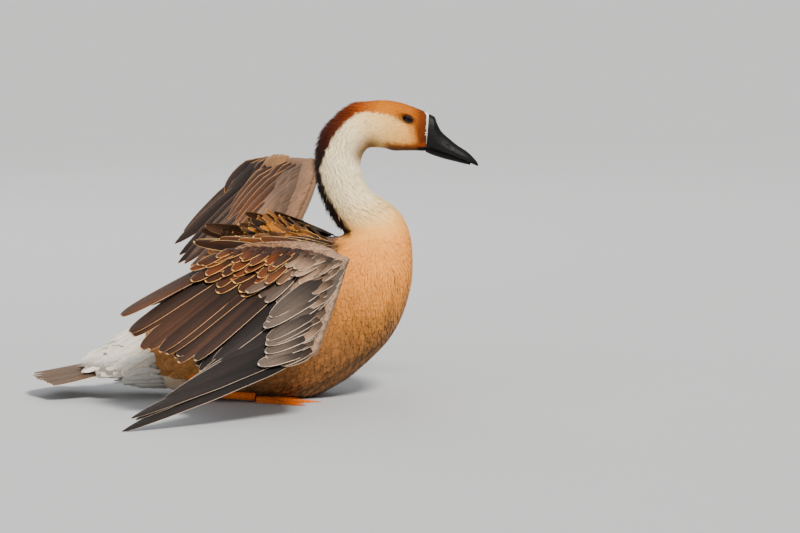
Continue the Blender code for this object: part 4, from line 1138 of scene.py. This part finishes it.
def make_wing(side, vane, arm, rng):
    """Flight feathers, rows of coverts above and below, and the small scales of the leading edge."""
    wing = WINGS[side]
    make_arm(side, arm)
    for label, (span, count, wide, form_name, back, high, loose) in FLIGHTS.items():
        t = np.linspace(*span, count)
        spot, lie, up = wing_frame(wing, t)
        long = smooth_table(*FLIGHT_LONG, t)[:, 0] * rng.uniform(0.97, 1.02, count)
        lie, up = turned(lie, up, rng.normal(0, loose, count), rng.normal(0, loose * 0.6, count))
        wing_batch(f"{label}_{side}", wing, form_name, spot + lie * back + up * high, lie, up, t,
                   long, wide, wing_tints(t, "flight", side, rng), vane, thick=1.8, band=1.6,
                   root_dark_and_shade=0.32, lit=(0.2, 0.85), web=0.25, tilt=rng.normal(14, loose * 2, count),
                   lean=0.4, cup=0.25, droop=0.03, ripple=0.012, seed=count)
    # The second value darkens the coverts' roots: partly darker bases, partly painted shade under the
    # row above.
    median_loose, dark, band, sweep = COVERT_LOOKS[side]
    for k, row in enumerate(UPPER_ROWS[side]):
        span, count, share, long, wide, follow, lift, loose, rise, kind = row
        t = np.linspace(*span, count) + rng.uniform(-0.014, 0.014, count)
        spot, run, normal = on_arm(wing, t, share)
        _, lie, up = wing_frame(wing, t)
        lie = unit(run * (1 - follow) + lie * follow)
        up = square_to(unit(normal * (1 - follow) + up * follow), lie)
        lie, up = turned(lie, up, rng.normal(0, median_loose if kind == "median" else 3.5, count))
        size = rng.uniform(0.88, 1.12, count)
        grown = read(GREATER_LONG, t) if kind == "greater" and side == "right" else 1.0
        wing_batch(f"coverts_{kind}_{k}_{side}", wing, "covert", spot - up * 2, lie, up, t,
                   long * size * grown, wide * size, wing_tints(t, kind, side, rng), vane,
                   thick=1.2, band=band, root_dark_and_shade=dark, lit=(0.3, 0.82), web=0.08, sweep=sweep,
                   tilt=rng.normal(12, 5, count), lean=0.45, cup=0.4,
                   lift=rng.normal(lift, loose, count), rise=rise, droop=0.07, ripple=0.02,
                   seed=k + 3)
    make_alula(wing, side, vane, rng)
    lesser_coverts(wing, side, vane, rng)
    under_coverts(wing, side, vane, rng)


# By side: how much further out than on the near wing the thumb's feathers stand, the share of
# their length, how far they rise, and their colour.
ALULA_LOOKS = {"right": (0, 1, 4, GREY * 0.85), "left": (0.42, 0.65, 5, ALULA_TAN)}


def make_alula(wing, side, vane, rng):
    """Three stiff feathers of the thumb, which lie between the hand's line and the coverts' lie."""
    further, shortened, rise, tone = ALULA_LOOKS[side]
    t = np.array([1.04, 1.1, 1.16]) + further
    spot, lie, up = wing_frame(wing, t)
    along = unit(unit(wing["hand"]) + 1.1 * lie)
    up = square_to(up, along)
    tints = tone * rng.uniform(0.9, 1.1, (3, 1)), rims(PALE_EDGE, np.full(3, 0.8))
    wing_batch(f"alula_{side}", wing, "covert", spot - lie * 8 + up * (4 + t[:, None]), along, up, t,
               np.array([58, 68, 76]) * shortened, 19, tints, vane, thick=1.4, band=1.4, tilt=8,
               lean=0.4, cup=0.3, rise=rise, droop=0.05)


def lay_on_arm(wing, form, t, share, long, wide, yaw, high, under=False):
    """Points of small feathers wrapped on the arm's upper skin or underside, (N, P, 3).

    From its root each feather runs back along the arc of the arm's slice, by long · u, and
    sideways along the bones, by half its width times v and by long · u · sin(yaw). A point stands
    off the skin by high · u − 0.4 and by half the form's height.
    """
    grid = np.linspace(0.999, 0.001, 80)
    front, rear, up, deep = arm_slice(wing, t)
    lines = (rear[:, None] + (front - rear)[:, None] * grid[None, :, None]
             + up[:, None] * (bulge(grid)[None] * deep[:, None])[..., None])
    steps = np.linalg.norm(np.diff(lines, axis=1), axis=-1)
    arcs = np.concatenate([np.zeros((len(t), 1)), np.cumsum(steps, 1)], 1)
    start = np.array([np.interp(-s, -grid, arc) for s, arc in zip(share, arcs)])
    yaw = np.radians(yaw)[:, None]
    run = start[:, None] + long[:, None] * form["u"][None] * np.cos(yaw)
    at = np.stack([np.interp(r, arc, grid) for r, arc in zip(run, arcs)])
    bone = np.where(t < 0, HUMERUS, np.where(t < 1, FOREARM, HAND))[:, None]
    aside = form["side"][None] * wide[:, None] / 2 + long[:, None] * form["u"][None] * np.sin(yaw)
    side = wing["side"] * (-1 if under else 1)
    along = np.clip(t[:, None] - side * aside / bone, -0.99, 2.01)
    spot, _, normal = on_arm(wing, along.ravel(), at.ravel(), under)
    stand = high * form["u"][None] - 0.4 + 0.5 * form["high"][None] * np.ones_like(run)
    return (spot + normal * stand.ravel()[:, None]).reshape(*run.shape, 3)


def lesser_coverts(wing, side, vane, rng):
    """Small scales wrapped round the leading edge, in staggered rows that grow towards the rear."""
    rows = []
    for k, (share, size) in enumerate(zip(LESSER_SHARES, LESSER_LONG)):
        t = np.arange(-0.95, 1.98, 0.05) + 0.025 * (k % 2)
        t = t + rng.uniform(-0.012, 0.012, len(t))
        rows.append((t, share + rng.uniform(-0.008, 0.008, len(t)) * (1 - share) * 4, 0 * t + size))
    t, share, size = np.concatenate(rows, 1)
    chosen = share > read(SCALES_FROM[side], t)
    t, share, size = t[chosen], share[chosen], size[chosen]
    n = len(t)
    long = size * rng.uniform(0.88, 1.12, n)
    wide = (5 + 0.42 * size) * rng.uniform(0.9, 1.1, n)
    form = FORMS["scale"]
    points = lay_on_arm(wing, form, t, share, long, wide, rng.normal(0, 7, n), 1.1)
    tint, edging = wing_tints(t, "lesser", side, rng)
    feather_piece(f"coverts_lesser_{side}", form, points, vane, "wing feathers", tint,
                  sheet_patches(form, t, share), edging, half=wide / 2, long=long, band=1.0,
                  outer=-float(wing["side"]), root_dark_and_shade=0.4, lit=(0.2, 0.8))


# Rows of the underside: share of the chord and length.
UNDER_ROWS = (
    (0.1, 70), (0.3, 46), (0.5, 34), (0.66, 26), (0.78, 21), (0.88, 17), (0.95, 13), (0.985, 10),
)


def under_coverts(wing, side, vane, rng):
    """Plainer rows on the wing's underside; those of the front half are wrapped on the arm."""
    rows = []
    for k, (share, long) in enumerate(UNDER_ROWS):
        t = np.arange(-0.8, 1.95, 0.07) + 0.035 * (k % 2)
        rows.append((t, 0 * t + share, 0 * t + long))
    t, share, long = np.concatenate(rows, 1)
    n = len(t)
    form = FORMS["scale"]
    wide = 11 + 0.14 * long
    spot, run, normal = on_arm(wing, t, share, under=True)
    lie = wing_frame(wing, t)[1]
    follow = (1 - ease(share, 0.1, 0.6))[:, None]
    lie = unit(run * (1 - follow) + lie * follow)
    normal = square_to(normal, lie)
    lie, up = turned(lie, normal, rng.normal(0, 4, n), 3)
    points = lay_feathers(form, spot - normal * 1.5, lie, up, long, wide, 1.0, cup=0.4, droop=0.03)
    ahead = share > 0.6
    points[ahead] = lay_on_arm(wing, form, t[ahead], share[ahead], long[ahead], wide[ahead],
                               rng.normal(0, 5, ahead.sum()), 1.0, under=True)
    tint = UNDER_GREY * rng.uniform(0.85, 1.12, (n, 1))
    feather_piece(f"coverts_under_{side}", form, points, vane, "wing feathers", tint,
                  sheet_patches(form, t, share), rims(UNDER_EDGE, np.full(n, 0.5)), half=wide / 2,
                  long=long, band=1.2)


# Mantle, scapulars and tail

def pitched(pitch, yaw):
    """Frames of feathers pointing back: raised by pitch and turned to the left by yaw degrees."""
    pitch, yaw = np.radians(pitch), np.radians(yaw)
    lie = np.stack([-np.cos(pitch) * np.cos(yaw), np.cos(pitch) * np.sin(yaw), np.sin(pitch)], -1)
    return lie, unit(np.array([0, 0, 1.0]) - lie * lie[:, 2:])


def back_spot(x, y):
    """Point of the back above x, y, by reading the place whose back stands at x."""
    places = np.linspace(NECK_ROOT + 0.5, LAST_RING, 400)
    line = body_spot(places, np.zeros(400))[:, 0]
    place = np.interp(-x, -line, places)
    half = read((np.arange(len(BODY_RINGS)), BODY_RINGS[:, 4]), place)
    turn = np.arcsin(np.clip(np.abs(y) / half, 0, 1) ** (BODY_SQUARENESS / 2)) * np.sign(y)
    return body_spot(place, turn)


def leant(lie, up, roll, side=1):
    """Upper sides tipped by roll degrees to the left, or to the right where side is -1, and kept
    square to the lie."""
    roll = np.radians(roll)[:, None]
    return square_to(up * np.cos(roll) + np.array([0, side, 0.0]) * np.sin(roll), lie)


# How steeply the mantle's feathers stand and how long they are, by x.
MANTLE_PITCH = ([-60, -30, -10, 8, 22, 36, 46, 60, 70], [3, 6, 14, 28, 38, 34, 26, 16, 10])
MANTLE_LONG = ([-60, -10, 22, 46, 60, 70], [54, 62, 66, 46, 34, 26])
# The second colour is painted shade, for the mantle's far side and rear.
MANTLE_GOLD, MANTLE_SHADE, MANTLE_EDGE = colour(158, 98, 48), colour(84, 60, 44), colour(232, 176, 106)


def make_mantle(vane, rng):
    """Shaken feathers that stand up between the shoulders, dark at the root and pale at the tip.

    Their upper sides are rolled outwards from the middle line; those ahead on the left, those at
    the rear and those in the hollows of a noise are darker, as painted shade, with weaker edges.
    Their dark roots are partly their own darker bases and partly painted shade.
    """
    xs, ys = np.meshgrid(np.arange(54, -62, -4.4), np.arange(-46, 47, 5.6), indexing="ij")
    ys = ys + 3 * (np.arange(len(xs)) % 2)[:, None]
    x, y = xs.ravel(), ys.ravel()
    n = len(x)
    x, y = x + rng.uniform(-2.5, 2.5, n), y + rng.uniform(-3, 3, n)
    spot = back_spot(x, y)
    pitch = read(MANTLE_PITCH, x) * (1 - 0.4 * (y / 46) ** 2) + rng.normal(0, 7, n)
    long = read(MANTLE_LONG, x) * rng.uniform(0.5, 1.04, n)
    lie, up = pitched(pitch, y * 0.25 + rng.normal(0, 14, n))
    up = leant(lie, up, np.clip(y * 1.1 - 16 + rng.normal(0, 18, n), -66, 50))
    form = FORMS["leaf"]
    points = lay_feathers(form, spot - (0, 0, 3), lie, up, long, rng.uniform(11, 18, n), 0.7, cup=0.5,
                          droop=rng.uniform(-0.05, 0.25, n), ripple=0.08, tilt=rng.normal(0, 9, n))
    # Painted shade: the far side ahead on the left, the rear and the hollows of a noise are darkened,
    # and their edges weakened.
    far = ease(y, 0, 18) * ease(x, 14, 32)
    rear = 1 - ease(x, -46, -2)
    hollow_shade = ease(waves(spot, 30, 21), 0.1, 0.35)
    tint = MANTLE_GOLD * rng.uniform(0.2, 1.3, (n, 1))
    tint = mix(tint * (1 - 0.85 * hollow_shade)[:, None], MANTLE_SHADE, np.maximum(far, rear * 0.7))
    power = rng.uniform(0.4, 1.0, n) * (1 - 0.8 * far) * (1 - 0.65 * rear) * (1 - 0.7 * hollow_shade)
    feather_piece("mantle", form, points, vane, "body plumage", tint, sheet_patches(form, -x, y),
                  rims(MANTLE_EDGE, power), half=8, long=long, band=1.3, root_dark_and_shade=0.06, lit=(0.3, 1.0))


# Columns of shoulder feathers: distance from the middle, height at the shoulder, the length of the
# feathers and how steeply they rise.
SCAPULAR_COLUMNS = [
    (40, 207, 62, 8), (48, 208, 70, 9), (56, 208, 78, 9), (64, 207, 84, 9), (72, 205, 88, 8),
]
# The second colour is painted shade on the far side.
SCAPULAR_BROWN, SCAPULAR_FAR_SHADE = colour(112, 66, 36), colour(88, 62, 46)


def make_scapulars(vane, rng):
    """Long feathers from each shoulder that lie back over the wing's root.

    The roots of a column run back from the shoulder a step apart. Those of the left side stand
    steeper towards the front, and are darker with weaker edges as painted shade on the far side.
    """
    for side, name in ((-1, "right"), (1, "left")):
        far = side > 0
        columns = []
        for k, (off, high, reach, steep) in enumerate(SCAPULAR_COLUMNS):
            x = np.arange(68 - 2 * k, -26, -12.0) - 6 * (k % 2)
            columns.append((x, side * (off + 0.1 * (84 - x)), high - 0.0004 * (84 - x) ** 2 - 4,
                            0 * x + reach, steep + 14 * far * ease(x, 10, 50)))
        x, y, z, long, pitch = np.concatenate(columns, 1)
        n = len(x)
        lie, up = pitched(pitch + rng.normal(0, 2.5, n), side * rng.normal(6, 4, n))
        up = leant(lie, up, 24 + 0.9 * (np.abs(y) - 40) + rng.normal(0, 6, n), side)
        long = long * rng.uniform(0.85, 1.08, n)
        wide = rng.uniform(14, 19, n)
        form = FORMS["covert"]
        root = np.stack([x, y, z], -1) + rng.uniform(-1.5, 1.5, (n, 3))
        points = lay_feathers(form, root, lie, up, long, wide, 1.2, cup=0.6, droop=0.05, ripple=0.03,
                              tilt=rng.normal(0, 6, n))
        tint = SCAPULAR_BROWN * rng.uniform(0.3, 1.1, (n, 1)) * (0.3 + 0.7 * ease(x, -20, 50))[:, None]
        power = rng.uniform(0.7, 0.95, n) * (0.6 + 0.4 * ease(x, -30, 20))
        # The left side is the far side: its darker tint and weaker edges are painted shade.
        if far:
            tint, power = mix(tint, SCAPULAR_FAR_SHADE, 0.8), power * 0.45
        feather_piece(f"scapulars_{name}", form, points, vane, "body plumage", tint,
                      sheet_patches(form, -x, y), rims(CREAM_EDGE, power), half=wide / 2, long=long,
                      band=1.2, root_dark_and_shade=0.15, lit=(0.25, 0.95))


TAIL_PAIRS, TAIL_PITCH, TAIL_FAN = 8, -11, 3.5
TAIL_BROWN, TAIL_EDGE = colour(92, 74, 60), colour(226, 214, 196)
# Tail coverts: whether they lie over the tail, their pitch and colour.
TAIL_COVERTS = {
    "over": (True, -25.0, colour(236, 226, 210)),
    "under": (False, -2.0, colour(244, 238, 228)),
}


def make_tail(vane, rng):
    """Eight pairs of tail feathers in a low fan, with pale rims, and coverts over and under them."""
    count = 2 * TAIL_PAIRS
    pair = np.repeat(np.arange(TAIL_PAIRS), 2)
    side = np.tile([1, -1], TAIL_PAIRS)
    lie, up = pitched(np.full(count, TAIL_PITCH), side * (2 + TAIL_FAN * pair))
    high = 51 - 1.25 * pair - (side < 0) * 1.25
    root = np.stack([np.full(count, -207.0), side * (1.8 + 2.1 * pair), high], -1)
    long = (126 - 2.6 * pair) * rng.uniform(0.98, 1.02, count)
    form = FORMS["flight"]
    points = lay_feathers(form, root, lie, up, long, 27, 1.5, cup=0.3, ripple=0.01)
    tint = TAIL_BROWN * rng.uniform(0.85, 1.1, (count, 1))
    feather_piece("tail_feathers", form, points, vane, "wing feathers", tint,
                  sheet_patches(form, pair, side), rims(TAIL_EDGE, np.full(count, 0.9)), half=13.5,
                  long=long, band=3)
    form = FORMS["covert"]
    for label, (over, pitch, tone) in TAIL_COVERTS.items():
        place, turn = body_rows(28.6, 30.9, ([28, 31], [9, 9]), ([28, 31], [10, 10]), rng)
        chosen = (np.abs(turn) / np.pi < 0.5) == over
        place, turn = place[chosen], turn[chosen]
        spot, _, normal = body_frame(place, turn)
        n = len(place)
        lie, _ = pitched(np.full(n, pitch), spot[:, 1] * 0.5 + rng.normal(0, 3, n))
        up = square_to(normal, lie)
        long = rng.uniform(46, 64, n)
        points = lay_feathers(form, spot - normal * 3, lie, up, long, 19, 1.2, cup=0.5, droop=0.04)
        tint = tone * rng.uniform(0.85, 1.0, (n, 1))
        feather_piece(f"tail_coverts_{label}", form, points, vane, "body plumage", tint,
                      sheet_patches(form, place, turn), rims(WHITE, np.full(n, 0.5)), half=9,
                      long=long, band=1.5)


# Legs, floor, light and camera

def scaly_skin():
    """Orange skin in small scales, with darker lines between them."""
    made, tree, shader = new_material("scaly skin", 0.5, specular=0.4)
    cells = node(tree, "ShaderNodeTexVoronoi", {"Vector": object_place(tree), "Scale": 420.0},
                 feature="DISTANCE_TO_EDGE")
    lines = ramp(tree, cells.outputs["Distance"], 0.0, 0.12, 0.0, 1.0)
    tones = colour_rows((206, 96, 22), (236, 140, 52), (150, 62, 16))
    dull, bright, dark = ((*tone, 1) for tone in tones)
    base = blend_colour(tree, object_noise(tree, 90), dull, bright)
    tree.links.new(blend_colour(tree, lines, dark, base), shader.inputs["Base Color"])
    set_relief(tree, shader, lines, 0.0004, 0.7)
    return made


def tinted_gloss(name, roughness, coat):
    """A glossy finish in the piece's own tint."""
    made, tree, shader = new_material(name, roughness, specular=0.12, coat=coat)
    tree.links.new(attribute(tree, "tint")["Color"], shader.inputs["Base Color"])
    return made


def make_legs(skin):
    """The tucked legs and feet keep their solids, finished as scaly orange skin."""
    for name in ("leg_right", "leg_left", "foot_right", "foot_left"):
        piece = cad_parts[name]
        piece.data.materials.clear()
        piece.data.materials.append(skin)


FLOOR_REACH, FLOOR_TOP = 45000, -0.3
SUN_POWER, SUN_WAY, LAMP_SIZE, SKY_POWER = 5.4, (-0.35, 0.85, -0.95), 1.6, 0.62
# The photograph spans 800 pixels of 1.3 mm at the bird, seen from 6 degrees above the water.
CAMERA_FAR, CAMERA_RISE = 6.0, math.radians(6)
CAMERA_AIM = (0.1495, 0, 0.168)
CAMERA_LENS = 36 * CAMERA_FAR / (800 * 1.3 * MM)


def facing(way):
    """The turn that points a lamp along a way."""
    return Vector(way).to_track_quat("-Z", "Y").to_euler()


def place_object(name, data, spot, turn):
    """A lamp or camera put in the scene."""
    made = bpy.data.objects.new(name, data)
    made.location, made.rotation_euler = spot, turn
    bpy.context.scene.collection.objects.link(made)
    return made


def make_stage():
    """A pale floor, a broad soft sun, two soft lamps, a pale surround and the photograph's camera."""
    corners = [(x * FLOOR_REACH, y * FLOOR_REACH, FLOOR_TOP)
               for x, y in ((-1, -1), (1, -1), (1, 1), (-1, 1))]
    pale = plain_material("pale floor", colour(182, 184, 186), roughness=0.75, noise=3.0, spread=0.02,
                          relief=0.0)
    floor = build_mesh("floor", corners, [(0, 1, 2, 3)], pale, smooth=False)
    sun = bpy.data.lights.new("sun", "SUN")
    sun.energy, sun.angle, sun.color = SUN_POWER, math.radians(14), (1, 0.955, 0.88)
    place_object("sun", sun, (0, 0, 0), facing(SUN_WAY))
    for name, spot, aim, power in (("fill", (-1.6, -2.4, 1.0), (0.05, 0, 0.2), 14),
                                   ("rim", (-0.6, 2.6, 2.0), (0, 0, 0.2), 20)):
        lamp = bpy.data.lights.new(name, "AREA")
        lamp.size, lamp.energy = LAMP_SIZE, power
        place_object(name, lamp, spot, facing(Vector(aim) - Vector(spot)))
    world = bpy.data.worlds.new("surround")
    world.use_nodes = True
    sky = world.node_tree.nodes["Background"].inputs
    sky[0].default_value, sky[1].default_value = (0.96, 0.975, 1.0, 1), SKY_POWER
    bpy.context.scene.world = world
    camera = bpy.data.cameras.new("camera")
    camera.lens, camera.clip_end = CAMERA_LENS, 120
    back = Vector((0, -math.cos(CAMERA_RISE), math.sin(CAMERA_RISE))) * CAMERA_FAR
    bpy.context.scene.camera = place_object("camera", camera, Vector(CAMERA_AIM) + back,
                                            (math.pi / 2 - CAMERA_RISE, 0, 0))


def main():
    """Makes every piece in one order, on which the random draws depend, and the stage."""
    rng = np.random.default_rng(11)
    down, vane = down_material(), vane_material()
    make_skin(down)
    make_eyes(tinted_gloss("eye", roughness=0.05, coat=0.03),
              plain_material("lid skin", colour(11, 7, 6), roughness=0.7, noise=400))
    make_bill(plain_material("horn", colour(9, 9, 10), roughness=0.48, noise=300, spread=0.45,
                             relief=0.0006, specular=0.16))
    make_coat(down, vane, rng)
    for side in ("right", "left"):
        make_wing(side, vane, down, rng)
    make_mantle(vane, rng)
    make_scapulars(vane, rng)
    make_tail(vane, rng)
    make_legs(scaly_skin())
    make_stage()


main()
